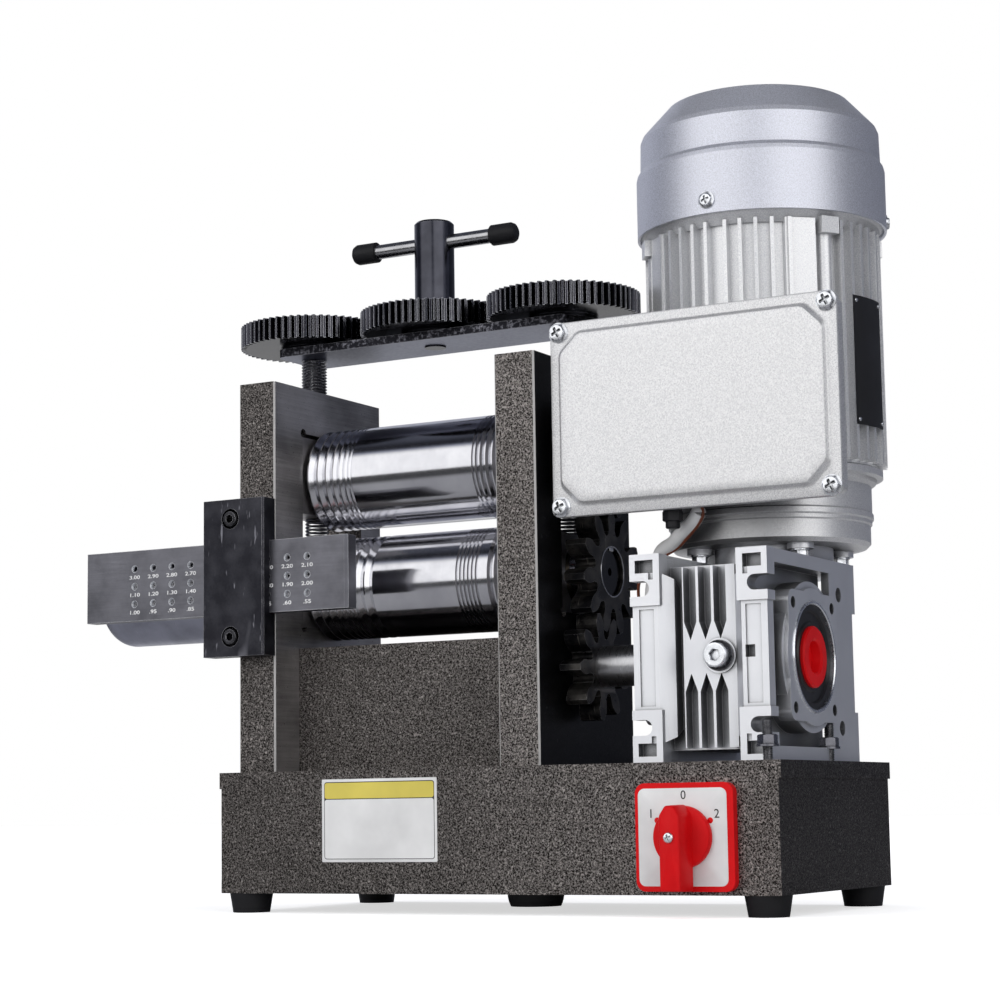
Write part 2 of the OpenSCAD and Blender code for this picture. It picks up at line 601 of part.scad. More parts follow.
// one pointed groove between two fins, above the middle
module fin_groove(x) upright(fin_y - 1, valley_y - fin_y + 1)
    polygon([[x, 9.5], [x + groove_half, 20], [x + groove_half, half_h], [x - groove_half, half_h],
        [x - groove_half, 20]]);
module fins() difference() {
    union() {
        translate([-valley_x + 5, fin_y, -half_h + 8]) cube([2*valley_x - 5, valley_y, gear_h - 16]);
        translate([plug_x, fin_y - 1.5, 0]) along_y() cylinder(h = 6, r = 10);
    }
    for (z = [0, 1], k = [-1:1]) mirror([0, 0, z]) fin_groove(k*fin_pitch);
    translate([plug_x, fin_y - 4, 0]) along_y() cylinder(h = 4.5, r = 7.6);
}
// the frame round one side: top and bottom rails and an upright plate at the rear with two holes
module side_frame() {
    for (z = [0, 1]) mirror([0, 0, z])
        translate([cheek_x - 4, 10, half_h - 8]) cube([lug_x - cheek_x + 3, gear_w - 10, 8]);
    difference() {
        union() {
            translate([lug_x - 6, gear_w - 42, -half_h]) cube([5, 37, gear_h]);
            for (z = [0, 1]) mirror([0, 0, z]) translate([lug_x - 6, gear_w - 42, lug_z]) cube([5, 42, lug_z]);
        }
        for (z = [-1, 1]) translate([cheek_x + 1, gear_w - 27, z*slot_z]) along_x() cylinder(h = lug_x, r = 4.5);
    }
}
module output_boss() {
    translate([cheek_x - 2, wheel_back, 0]) along_x() cylinder(h = half_l - cheek_x, r = 44);
    translate([half_l - 9, wheel_back, 0]) along_x() linear_extrude(9) {
        circle(r = 40);
        round_rect([75, 75], 7);
    }
    translate([half_l - 1, wheel_back, 0]) along_x() cylinder(h = 1, r = seal_r + 3);
}
module motor_neck() translate([0, motor_back, half_h - 8]) {
    cylinder(h = 17, r = 38);
    for (x = [-1, 1], y = [-1, 1]) translate([x*neck_bolt, y*neck_bolt, 13.5]) cylinder(h = 3.5, r = 8);
    for (a = [45:90:315]) rotate(a) translate([20, -3, 0]) cube([30, 6, 17]);
}
module gearbox_housing() color("#dfe1e3") translate([gear_x, box_y, wheel_z]) difference() {
    union() {
        translate([-cheek_x, valley_y, -half_h + 7]) cube([2*cheek_x, motor_back - valley_y, gear_h - 14]);
        translate([-16, motor_back - 1, -34]) cube([32, gear_w - motor_back + 1, 68]);
        fins();
        for (x = [0, 1]) mirror([x, 0, 0]) {
            rail();
            side_frame();
            output_boss();
            for (z = [0, 1]) mirror([0, 0, z]) lug();
        }
        motor_neck();
    }
    for (a = [45:90:315]) translate([half_l - 18, wheel_back + flange_pcd/2*cos(a), flange_pcd/2*sin(a)])
        along_x() cylinder(h = 19, r = flange_hole_r);
    translate([-half_l - 1, wheel_back, 0]) along_x() cylinder(h = half_l + 22, d = shaft_d + 2*run_gap);
    translate([half_l - 8, wheel_back, 0]) along_x() cylinder(h = 9, r = seal_r + 2*fit);
    translate([lug_in + 4, -1, -2]) cube([5.5, 8, 7]);
}
module output_seal() color("#1a1a1a") translate([gear_x + half_l - 8, wheel_y, wheel_z]) along_x() rotate_extrude()
    polygon([[18 + fit, 0], [seal_r, 0], [seal_r, 7], [27, 7], [26, 5.5], [21, 5.5], [20, 6.5], [18 + fit, 6.5]]);
module red_cap() color("#c81e1e") translate([gear_x + half_l - 8, wheel_y, wheel_z]) along_x() rotate_extrude()
    polygon([[0, 0], [18, 0], [18, 8], [17, 9], [11, 9], [9.5, 8], [8.5, 3], [0, 3]]);

// motor
module motor_flange() color("#d3d5d7") translate([gear_x, motor_y, flange_z]) rotate_extrude() polygon([
    [0, 0], [58.5, 0], [61, 2.5], [61, 13], [62, 14], [62, 16], [63, 17], [63, 20], [62.2, 21], [62.2, 37], [65, 39],
    [66, 41], [69.5, 42], [69.5, 46], [68, 47], [0, 47]]);
// fins of one quarter, by their angle from the quarter's middle line
fin_angles = [5, 12.3, 19.8, 27.5, 36];
module fin(a) rotate(a) translate([barrel_r - 3, -fin_t/2, 2]) cube([fin_r - barrel_r + 3, fin_t, body_h - 9]);
module corner_pad() {
    rotate(41.5) translate([barrel_r - 8, -9.5, 2]) cube([12.5, 19, body_h - 9]);
    rotate(56) translate([barrel_r + 0.5, 0, 2]) cylinder(h = body_h - 9, r = 5);
    rotate(56) translate([barrel_r - 4, -6, body_h - 16]) cube([12.5, 12, 10]);
}
module motor_body() color("#d3d5d7") translate([gear_x, motor_y, body_z]) {
    cylinder(h = body_h, r = barrel_r);
    for (quarter = [-90, 90], side = [0, 1]) rotate(quarter) mirror([0, side, 0]) {
        for (a = fin_angles) fin(a);
        corner_pad();
    }
    for (quarter = [0, 180], side = [0, 1]) rotate(quarter) mirror([0, side, 0])
        for (a = [5, 12.3, 19.8, 26.5]) fin(a);
    translate([0, 0, body_h - 9]) rotate_extrude() polygon([[0, 0], [barrel_r + 2, 0],
        [cowl_r - cowl_t - 3, 6], [cowl_r - cowl_t - 0.1, 8], [cowl_r - cowl_t - 0.1, 12], [0, 12]]);
}
module fan_cowl() color("#c9cbcd") translate([gear_x, motor_y, cowl_z - 3]) difference() {
    rotate_extrude() polygon([[cowl_r - cowl_t, 0], [cowl_r, 0], [cowl_r, 37], [cowl_r - 0.6, 39.5],
        [cowl_r - 2.4, 42], [cowl_r - 2.6, 44], [cowl_r - 3, 61], [cowl_r - 4.2, 64], [cowl_r - 6, 66],
        [cowl_r - 20, cowl_h], [0, cowl_h], [0, cowl_h - cowl_t], [cowl_r - 20.5, cowl_h - cowl_t],
        [cowl_r - 7, 65], [cowl_r - 4.6, 60], [cowl_r - 4.2, 43], [cowl_r - cowl_t, 37]]);
    for (a = [0:15:345]) rotate(a) translate([20, -1.6, cowl_h - cowl_t - 1]) cube([32, 3.2, cowl_t + 2]);
}
module terminal_box() color("#d9dbdd") difference() {
    union() {
        translate([box_x0 + box_l/2, 0, box_z + box_h/2]) upright(box_front + cover_t, 11)
            round_rect([box_l - 5, box_h - 5], 4);
        translate([gear_x - 50, box_front + cover_t + 10, box_z + 12])
            cube([100, motor_y - barrel_r - box_front - cover_t + 4, box_h - 24]);
    }
    translate([gear_x, motor_y, box_z - 1]) cylinder(h = box_h + 2, r = fin_r + 0.3);
}
// cover with a raised panel, its corners cut off round the screws
cut = 13;
module panel_outline(inset) polygon([for (p = [[1, -1, 0], [1, -1, 1], [1, 1, 1], [1, 1, 0],
        [-1, 1, 0], [-1, 1, 1], [-1, -1, 1], [-1, -1, 0]])
    [p.x*(box_l/2 - inset - (p.z == 0 ? cut : 0)), p.y*(box_h/2 - inset - (p.z == 0 ? 0 : cut))]]);
module terminal_cover() color("#e2e3e5") translate([box_x0 + box_l/2, 0, box_z + box_h/2]) {
    upright(box_front, cover_t) round_rect([box_l, box_h], 5);
    hull() {
        upright(box_front, 1) panel_outline(8);
        upright(box_front - panel_up, 1) panel_outline(12);
    }
}
module supply_cable() color("#e8e8e6") for (i = [0:len(cable_path) - 2]) hull() for (k = [0, 1])
    translate(cable_path[i + k]) sphere(d = cable_d, $fn = 12);

// switch
module switch_plate() color("#d8343a") difference() {
    translate([switch_x, 0, switch_z]) upright(front_y - switch_t, switch_t) round_rect([switch_s, switch_s], 6);
    translate([switch_x, front_y - switch_t - 1, switch_z]) along_y() cylinder(h = switch_t + 2, r = pin_r + run_gap);
}
// the lever's outline: its top is pointed towards the mark, its sides draw in towards the front
module lever_outline(inset) polygon([[inset - lever_w/2, inset/2 - lever_l], [lever_w/2 - inset, inset/2 - lever_l],
    [lever_w/2 - inset, knob_r - 5], [2.5, knob_r + 0.5 - 2*inset], [-2.5, knob_r + 0.5 - 2*inset],
    [inset - lever_w/2, knob_r - 5]]);
module switch_knob() color("#d8343a") translate([switch_x, front_y - switch_t - 0.3, switch_z]) rotate([90, 0, 0]) {
    cylinder(h = 5, r = knob_r);
    hull() {
        translate([0, 0, 4]) linear_extrude(1) lever_outline(0);
        translate([0, 0, lever_h - 1]) linear_extrude(1) lever_outline(0.7);
    }
    translate([0, 0, -switch_t - 8]) cylinder(h = switch_t + 8.5, r = pin_r);
}

base_top();
base_front();
base_rear();
base_left_end();
base_right_end();
base_bottom();
rubber_feet();
left_side_plate();
right_side_plate();
front_panel();
rear_panel();
lower_bearing_blocks();
lower_bushes();
upper_bearing_blocks();
upper_bushes();
lift_springs();
lower_roll();
upper_roll();
winding_drum();
draw_plate();
clamp_block();
bridge_plate();
left_adjust_gear();
centre_adjust_gear();
right_adjust_gear();
left_adjust_screw();
right_adjust_screw();
t_handle();
handle_bar();
handle_caps();
lower_roll_gear();
upper_roll_gear();
drive_pinion();
output_shaft();
gearbox_housing();
output_seal();
red_cap();
motor_flange();
motor_body();
fan_cowl();
terminal_box();
terminal_cover();
supply_cable();
switch_plate();
switch_knob();
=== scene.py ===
"""Looks of a motor-driven jewellery rolling mill: finishes, fasteners, threads, springs, numerals and stage.

Lengths in this file are millimetres in the machine's own frame: X along the base, Y to the back, Z up from
the floor under the middle of the base.  They become metres when a mesh is made.
"""

import math

import bpy
import numpy as np
from bpy.props import FloatProperty, FloatVectorProperty, PointerProperty
from mathutils import Matrix, Vector


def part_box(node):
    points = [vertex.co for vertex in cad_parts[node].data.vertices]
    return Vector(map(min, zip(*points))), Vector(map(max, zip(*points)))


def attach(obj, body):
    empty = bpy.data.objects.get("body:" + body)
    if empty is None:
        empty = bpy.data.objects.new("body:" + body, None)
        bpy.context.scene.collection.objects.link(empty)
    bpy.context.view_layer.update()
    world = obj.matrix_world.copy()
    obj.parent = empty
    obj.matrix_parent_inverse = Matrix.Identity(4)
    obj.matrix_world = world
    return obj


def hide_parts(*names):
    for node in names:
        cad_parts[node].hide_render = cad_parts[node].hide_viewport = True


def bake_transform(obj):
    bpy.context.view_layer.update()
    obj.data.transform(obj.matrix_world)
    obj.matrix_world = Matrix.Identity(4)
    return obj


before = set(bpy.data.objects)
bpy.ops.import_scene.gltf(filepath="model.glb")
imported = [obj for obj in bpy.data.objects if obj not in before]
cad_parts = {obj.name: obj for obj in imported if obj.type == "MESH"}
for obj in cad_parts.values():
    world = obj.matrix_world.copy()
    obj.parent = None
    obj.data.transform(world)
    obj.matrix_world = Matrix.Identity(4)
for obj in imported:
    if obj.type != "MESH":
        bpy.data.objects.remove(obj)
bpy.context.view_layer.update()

bl_info = {
    "name": "Jewellery Rolling Mill",
    "version": (1, 0, 0),
    "blender": (4, 5, 0),
    "location": "3D View > Sidebar > Rolling Mill",
    "description": "Finishes, fasteners, threads, numerals and studio of a bench rolling mill",
    "category": "Object",
}

MM = 0.001
X, Y, Z = np.eye(3)

# in metres: an outer face of the stand's plates lies more than PLATE_REACH from the plane x = -PLATE_LINE,
# and the rolls' black ends begin at x = ROLL_END
PLATE_LINE, PLATE_REACH = 0.0753, 0.095
ROLL_END = 0.0432


# ---------------------------------------------------------------- places from the frame

class Box:
    """A CAD node's box in millimetres: lo and hi are its corners, mid its middle and size its three sides."""

    def __init__(self, node):
        self.lo, self.hi = np.array(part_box(node)) / MM
        self.mid = (self.lo + self.hi) / 2
        self.size = self.hi - self.lo


BASE = Box("base_front")
BASE_TOP = Box("base_top").hi[2]
DRAW = Box("draw_plate")
CLAMP = Box("clamp_block")
COVER = Box("terminal_cover")
SWITCH = Box("switch_plate")
KNOB = Box("switch_knob")
COWL = Box("fan_cowl")
MOTOR = Box("motor_body")
TERMINAL = Box("terminal_box")
FLANGE = Box("motor_flange")
GEARBOX = Box("gearbox_housing")
SEAL = Box("output_seal")
LOW_GEAR = Box("lower_roll_gear")
UP_GEAR = Box("upper_roll_gear")
SPRINGS = Box("lift_springs")
BRIDGE = Box("bridge_plate")
LEFT_SCREW = Box("left_adjust_screw")
RIGHT_SCREW = Box("right_adjust_screw")
LOW_AXIS = Box("winding_drum").mid
UP_AXIS_Z = Box("upper_roll").mid[2]
GEAR_X = COWL.mid[0]
MOTOR_Y = COWL.mid[1]
WHEEL_Y, WHEEL_Z = SEAL.mid[1:]
SWITCH_X, SWITCH_Z = SWITCH.mid[[0, 2]]

# the dies' grid: its first column and row from the draw plate's left end and top, its spacing, its size, and
# how far a numeral's middle lies under its die
DIE_START, DIE_DOWN = 39, 12
DIE_PITCH, DIE_ROW = 15.0, 11.5
DIE_COLUMNS, DIE_ROWS = 10, 3
NUMERAL_DROP = 5.6


# ---------------------------------------------------------------- settings

def length(name, default):
    """A length in metres, given here in millimetres."""
    return FloatProperty(name=name, default=default * MM, min=0.0, subtype="DISTANCE", unit="LENGTH",
                         precision=5)


def colour(name, default):
    """A colour in linear light."""
    return FloatVectorProperty(name=name, default=default, size=3, min=0.0, max=1.0, subtype="COLOR")


class MillSizes(bpy.types.PropertyGroup):
    """Sizes of the small pieces."""
    thread_pitch: length("Pitch of the adjusting screws", 2.0)
    thread_depth: length("Depth of the adjusting screws' thread", 1.1)
    spring_wire: length("Thickness of the lift springs' wire", 1.5)
    cable_size: length("Diameter of the white sleeve on the motor's lead", 9.0)
    wire_size: length("Thickness of the brown wire beside the sleeve", 1.9)
    digit_height: length("Height of the numerals under the dies", 2.5)
    dial_height: length("Height of the numerals round the switch", 5.2)


class MillColours(bpy.types.PropertyGroup):
    """Colours of the finishes."""
    paint_dark: colour("Dark ground of the hammertone paint", (0.014, 0.012, 0.011))
    # the flecks' colour, which is also that of the painted glints
    paint_light: colour("Raised flecks of the hammertone paint", (0.44, 0.405, 0.385))
    bare_steel: colour("Inner faces of the stand's plates, and bearing blocks", (0.62, 0.60, 0.60))
    machined_dark: colour("Oily stains on the machined steel", (0.27, 0.26, 0.26))
    # near-black outer faces: dark paint, and also the painted shade of the gears in front of the right plate
    plate_outer_paint_and_shade: colour("Outer faces of the stand's plates", (0.016, 0.016, 0.018))
    bevel: colour("Rubbed bevels of the stand's plates", (0.5, 0.49, 0.48))
    roll_steel: colour("Polished rolls", (0.72, 0.72, 0.75))
    roll_dull: colour("Dull patches on the rolls", (0.54, 0.54, 0.58))
    roll_end: colour("Ends of the rolls inside their gears", (0.03, 0.03, 0.032))
    ground_steel: colour("Draw plate, springs, adjusting screws and nuts", (0.23, 0.23, 0.258))
    shaft_steel: colour("Handle bar, output shaft and gear keys", (0.62, 0.62, 0.64))
    black_oxide: colour("Clamp block", (0.017, 0.017, 0.023))
    blued: colour("Handle post", (0.055, 0.056, 0.068))
    bridge: colour("Broad faces of the bridge", (0.26, 0.275, 0.35))
    bridge_dull: colour("Darker clouds on the bridge", (0.19, 0.20, 0.265))
    mill_scale: colour("Scale on the bridge's sawn faces", (0.012, 0.012, 0.016))
    scale_worn: colour("Bright spots in the scale", (0.26, 0.26, 0.3))
    oiled: colour("Adjusting gears", (0.036, 0.036, 0.044))
    drum: colour("Winding drum", (0.46, 0.47, 0.56))
    gear_black: colour("Roll gears, seal, socket screws and ink", (0.012, 0.012, 0.014))
    cast: colour("Worm gearbox and motor", (0.92, 0.93, 0.96))
    cast_dull: colour("Duller clouds on the gearbox", (0.66, 0.67, 0.72))
    silver: colour("Motor's cowl", (0.74, 0.755, 0.83))
    cover: colour("Terminal box and motor flange", (0.93, 0.93, 0.95))
    red: colour("Switch, knob and shaft cap", (0.72, 0.006, 0.009))
    rubber: colour("Feet, handle caps, cable gland and fan", (0.010, 0.010, 0.012))
    zinc: colour("Bolts, screws, seal lip and die cones", (0.90, 0.92, 0.96))
    bronze: colour("Bearing bushes", (0.50, 0.33, 0.12))
    white: colour("Sleeve, label, switch panel and die numerals", (0.80, 0.80, 0.80))
    brown: colour("Wire beside the sleeve", (0.16, 0.035, 0.010))
    yellow: colour("Band of the blank label", (0.72, 0.60, 0.10))


def sizes(name):
    """A size from the panel, in millimetres."""
    return getattr(bpy.context.scene.mill_sizes, name) / MM


def tint(name, factor=1.0):
    """A colour from the panel, made darker or lighter by a factor, as a shader socket takes it."""
    return (*[min(1.0, factor * share) for share in getattr(bpy.context.scene.mill_colours, name)], 1.0)


# ---------------------------------------------------------------- surfaces

def join(*parts):
    """Several (points, faces) surfaces as one."""
    points, faces, start = [], [], 0
    for p, f in parts:
        points.append(p)
        faces += [tuple(np.array(face) + start) for face in f]
        start += len(p)
    return np.vstack(points), faces


def grid(points, round_u=False, round_v=True):
    """Quads over a grid of points[u, v]; an axis that is round closes on itself."""
    nu, nv = points.shape[:2]
    cells = np.arange(nu if round_u else nu - 1), np.arange(nv if round_v else nv - 1)
    u, v = (side.ravel() for side in np.meshgrid(*cells, indexing="ij"))
    u1, v1 = (u + 1) % nu, (v + 1) % nv
    faces = np.stack([u * nv + v, u * nv + v1, u1 * nv + v1, u1 * nv + v], axis=1)
    return points.reshape(-1, 3), faces.tolist()


def capped(rings):
    """A closed skin through rings[k, n] of points, each ring anticlockwise from above and rising, its two
    ends closed by a fan round the end ring's middle."""
    count = rings.shape[1]
    points, faces = grid(rings)
    ends = np.array([rings[0].mean(axis=0), rings[-1].mean(axis=0)])
    low, high = len(points), len(points) + 1
    last = (len(rings) - 1) * count
    faces += [(low, (i + 1) % count, i) for i in range(count)]
    faces += [(high, last + i, last + (i + 1) % count) for i in range(count)]
    return np.vstack([points, ends]), faces


def turn_angles(count):
    """As many directions round Z as count says, evenly spaced."""
    return np.arange(count) * 2 * math.pi / count


def rings_of(radii, heights, angles):
    """Rings of points (r cos a, r sin a, z).  A ring's radius and its height are each one number, or one for
    every angle."""
    even = np.ones(len(angles))
    r, z = (np.array([row * even for row in rows]) for rows in (radii, heights))
    return np.stack([r * np.cos(angles), r * np.sin(angles), z], axis=2)


def turned(profile, count):
    """The profile's (radius, height) pairs turned round Z, a ring of points for each."""
    return rings_of(*zip(*profile), turn_angles(count))


def revolve(profile, count=48):
    """A closed body turned round Z from a profile of (radius, height) pairs, listed upwards."""
    return capped(turned(profile, count))


def disc(radius, height, inset, drop, count=48):
    """A disc whose upper rim is cut off, inset inwards and drop downwards."""
    return revolve([(radius, 0), (radius, height - drop), (radius - inset, height)], count)


def hoop(profile, count=64):
    """A hoop turned round Z from a closed profile of (radius, height) pairs, listed clockwise."""
    return grid(turned(profile, count)[::-1], round_u=True)


def hexagon(across, angles):
    """Radius of a hexagon, across its flats, in each direction: half of it over the cosine of the angle to
    the nearest flat's middle."""
    return across / 2 / np.cos((angles + math.pi / 6) % (math.pi / 3) - math.pi / 6)


def hex_head(across, height, count=48):
    """A bolt head: a hexagon whose top corners are cut by a 30 degree cone, so that they are lower by
    tan 30 of their distance from the flat top."""
    a = turn_angles(count)
    hexa = hexagon(across, a)
    flat = 0.46 * across
    return capped(rings_of([0.2, hexa, hexa, flat], [0, 0, height - (hexa - flat) * 0.577, height], a))


def cap_screw(radius, height, socket, count=48):
    """A socket head screw: a cylinder with a rounded rim and a hexagonal socket in its top."""
    a = turn_angles(count)
    hexa = hexagon(socket, a)
    radii = [radius, radius, radius - 0.3, radius - 0.9, radius - 1.1, hexa + 0.25, hexa, hexa]
    heights = [0, height - 0.8, height - 0.2, height, height, height, height - 0.3, height / 2]
    return capped(rings_of(radii, heights, a))


def cross_head(radius, height, flange=0.0, across=0.0, count=64):
    """A domed screw head with a cross recess.  The recess is as deep as the point is near to one of the
    two arms' middle lines and to the head's middle.  across makes the side hexagonal, flange adds a rim."""
    a = turn_angles(count)
    side = np.minimum(hexagon(across, a), radius) if across else radius
    rims = [(flange, 0), (flange, 0.8), (side + 0.2, 1.1)] if flange else []
    rims += [(side, 1.2 if flange else 0), (side, height * 0.62), (side - 0.35, height * 0.85)]
    for share in np.linspace(0.86, 0.04, 14):
        r = share * radius
        near = np.minimum(np.abs(r * np.cos(a)), np.abs(r * np.sin(a)))
        arm = np.clip((0.17 * radius - near) / (0.07 * radius), 0, 1)
        inside = np.clip((0.66 - share) / 0.12, 0, 1)
        dome = height * (1 - 0.13 * share ** 2)
        rims.append((r, dome - 0.45 * height * arm * inside * (1 - 0.35 * share)))
    return capped(rings_of(*zip(*rims), a))


ROUND_CUT = 0.5858


def cut_rectangle(w, h, r, cut=None, steps=5):
    """A rectangle's outline with its corners cut off at 45 degrees by cut, each corner of the cut rounded
    by r, anticlockwise.  A cut of 2 - sqrt 2 of r, its default, is a plain round corner."""
    cut = ROUND_CUT * r if cut is None else cut
    slack = r * math.tan(math.pi / 8)
    first = np.linspace(0, math.pi / 4, steps)
    second = first + math.pi / 4
    quarter = np.concatenate([
        np.stack([w / 2 - r + r * np.cos(first), h / 2 - cut - slack + r * np.sin(first)], axis=1),
        np.stack([w / 2 - cut - slack + r * np.cos(second), h / 2 - r + r * np.sin(second)], axis=1)])
    return np.concatenate([quarter, (quarter * [-1, 1])[::-1], -quarter, (quarter * [1, -1])[::-1]])


def rounded(corners, r, steps=6):
    """The polygon's outline with each corner made a parabola that leaves its sides r from the corner."""
    p = np.array(corners, float)
    before, after = np.roll(p, 1, axis=0) - p, np.roll(p, -1, axis=0) - p
    start = p + before * (r / np.linalg.norm(before, axis=1))[:, None]
    end = p + after * (r / np.linalg.norm(after, axis=1))[:, None]
    t = np.linspace(0, 1, steps)[None, :, None]
    curves = start[:, None] * (1 - t) ** 2 + p[:, None] * 2 * t * (1 - t) + end[:, None] * t ** 2
    return curves.reshape(-1, 2)


def stacked(outlines):
    """A closed body through flat outlines, each (outline, height), listed upwards."""
    return capped(np.array([np.column_stack([line, np.full(len(line), z)]) for line, z in outlines]))


def round_plate(w, h, r, layers):
    """A plate with round corners, drawn in X and Y: each layer is (inset of the outline, height)."""
    return stacked([(cut_rectangle(w - 2 * inset, h - 2 * inset, max(r - inset, 0.2)), z)
                    for inset, z in layers])


def smooth_path(points, per_span=8):
    """A Catmull-Rom curve through the points: every span is the cubic whose ends have the slope of the
    chord between the neighbours."""
    p = np.array(points, float)
    p = np.vstack([2 * p[0] - p[1], p, 2 * p[-1] - p[-2]])
    t = np.linspace(0, 1, per_span, endpoint=False)[:, None]
    spans = [0.5 * (2 * b + (c - a) * t + (2 * a - 5 * b + 4 * c - d) * t ** 2
                    + (3 * b - a - 3 * c + d) * t ** 3)
             for a, b, c, d in zip(p[:-3], p[1:-2], p[2:-1], p[3:])]
    return np.vstack(spans + [p[-2:-1]])


def tube(path, radius, sides=16):
    """A round tube along the path: circles across it, each carried on from the last so that none twists."""
    path = np.array(path, float)
    along = np.gradient(path, axis=0)
    along /= np.linalg.norm(along, axis=1)[:, None]
    across = np.cross(along[0], X if abs(along[0] @ X) < 0.9 else Y)
    normals = []
    for direction in along:
        across = across - direction * (across @ direction)
        across /= np.linalg.norm(across)
        normals.append(across)
    normals = np.array(normals)
    sideways = np.cross(along, normals)
    a = turn_angles(sides)
    circles = np.cos(a)[None, :, None] * normals[:, None] + np.sin(a)[None, :, None] * sideways[:, None]
    return capped(path[:, None] + radius * circles)


def placed(surface, origin, up=Z, across=X):
    """A surface drawn along Z, turned so that its Z lies along up and its X along across, and moved."""
    points, faces = surface
    up = np.array(up, float) / np.linalg.norm(up)
    across = np.array(across, float) - up * (np.array(across, float) @ up)
    across /= np.linalg.norm(across)
    return points @ np.stack([across, np.cross(up, across), up]) + origin, faces


def copies(surface, spots, up=Z, across=X):
    """The surface placed at every spot, all as one."""
    return join(*[placed(surface, spot, up, across) for spot in spots])


def in_circle(angle):
    """The direction at an angle round Z."""
    return np.array([math.cos(angle), math.sin(angle), 0])


# ---------------------------------------------------------------- pieces

def piece(name, surface, finish, body="root", smooth=35.0, replaces=(), slot=None):
    """A mesh from a surface in millimetres, with its finish, riding on a body unless that is None."""
    points, faces = surface
    mesh = bpy.data.meshes.new(name)
    mesh.from_pydata((points * MM).tolist(), [], faces)
    mesh.validate()
    mesh.shade_smooth()
    mesh.set_sharp_from_angle(angle=math.radians(smooth))
    mesh.materials.append(bpy.data.materials["mill_" + finish])
    obj = bpy.data.objects.new(name, mesh)
    bpy.context.scene.collection.objects.link(obj)
    if body:
        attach(obj, body)
    if replaces:
        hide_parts(*replaces)
    return obj


def lettering(text, height, bold=0.0):
    """Flat letters of the built-in face as (points, faces), drawn in X and Y round the origin."""
    curve = bpy.data.curves.new("letters", "FONT")
    curve.body = text
    curve.size = height * 1.36
    curve.align_x = "CENTER"
    curve.align_y = "CENTER"
    curve.resolution_u = 3
    curve.offset = bold
    curve.extrude = 0.05
    holder = bpy.data.objects.new("letters", curve)
    bpy.context.scene.collection.objects.link(holder)
    mesh = bpy.data.meshes.new_from_object(holder.evaluated_get(bpy.context.evaluated_depsgraph_get()))
    points = np.empty(len(mesh.vertices) * 3)
    mesh.vertices.foreach_get("co", points)
    faces = [tuple(f.vertices) for f in mesh.polygons]
    bpy.data.objects.remove(holder)
    bpy.data.curves.remove(curve)
    bpy.data.meshes.remove(mesh)
    return points.reshape(-1, 3), faces


# ---------------------------------------------------------------- finishes

class Tree:
    """A node tree, built node by node."""

    def __init__(self, tree):
        self.tree = tree

    def node(self, kind, inputs=(), **settings):
        """A node with its settings; each input is a value or another node's output."""
        node = self.tree.nodes.new(kind)
        for key, value in settings.items():
            setattr(node, key, value)
        for key, value in dict(inputs).items():
            if isinstance(value, bpy.types.NodeSocket):
                self.tree.links.new(value, node.inputs[key])
            else:
                node.inputs[key].default_value = value
        return node

    def math(self, operation, a, b=0.0):
        return self.node("ShaderNodeMath", {0: a, 1: b}, operation=operation).outputs[0]

    def plus(self, a, b):
        return self.math("ADD", a, b)

    def times(self, a, b):
        return self.math("MULTIPLY", a, b)

    def over(self, a, limit):
        """1 where a is over the limit, 0 elsewhere."""
        return self.math("GREATER_THAN", a, limit)

    def ray_kinds(self):
        """Whether a ray comes from the camera or through glass, and whether it comes from a mirror."""
        rays = self.node("ShaderNodeLightPath").outputs
        return self.math("MAXIMUM", rays["Is Camera Ray"], rays["Is Transmission Ray"]), rays["Is Glossy Ray"]

    def ramp(self, value, low, high, to_low=0.0, to_high=1.0, soft=False):
        """The value's stretch from low to high becomes to_low to to_high."""
        return self.node("ShaderNodeMapRange", {"Value": value, "From Min": low, "From Max": high,
                                                "To Min": to_low, "To Max": to_high},
                         interpolation_type="SMOOTHSTEP" if soft else "LINEAR").outputs[0]

    def mix(self, share, a, b):
        """Colour a, b or a mix of them."""
        return self.node("ShaderNodeMix", {0: share, 6: a, 7: b}, data_type="RGBA").outputs[2]


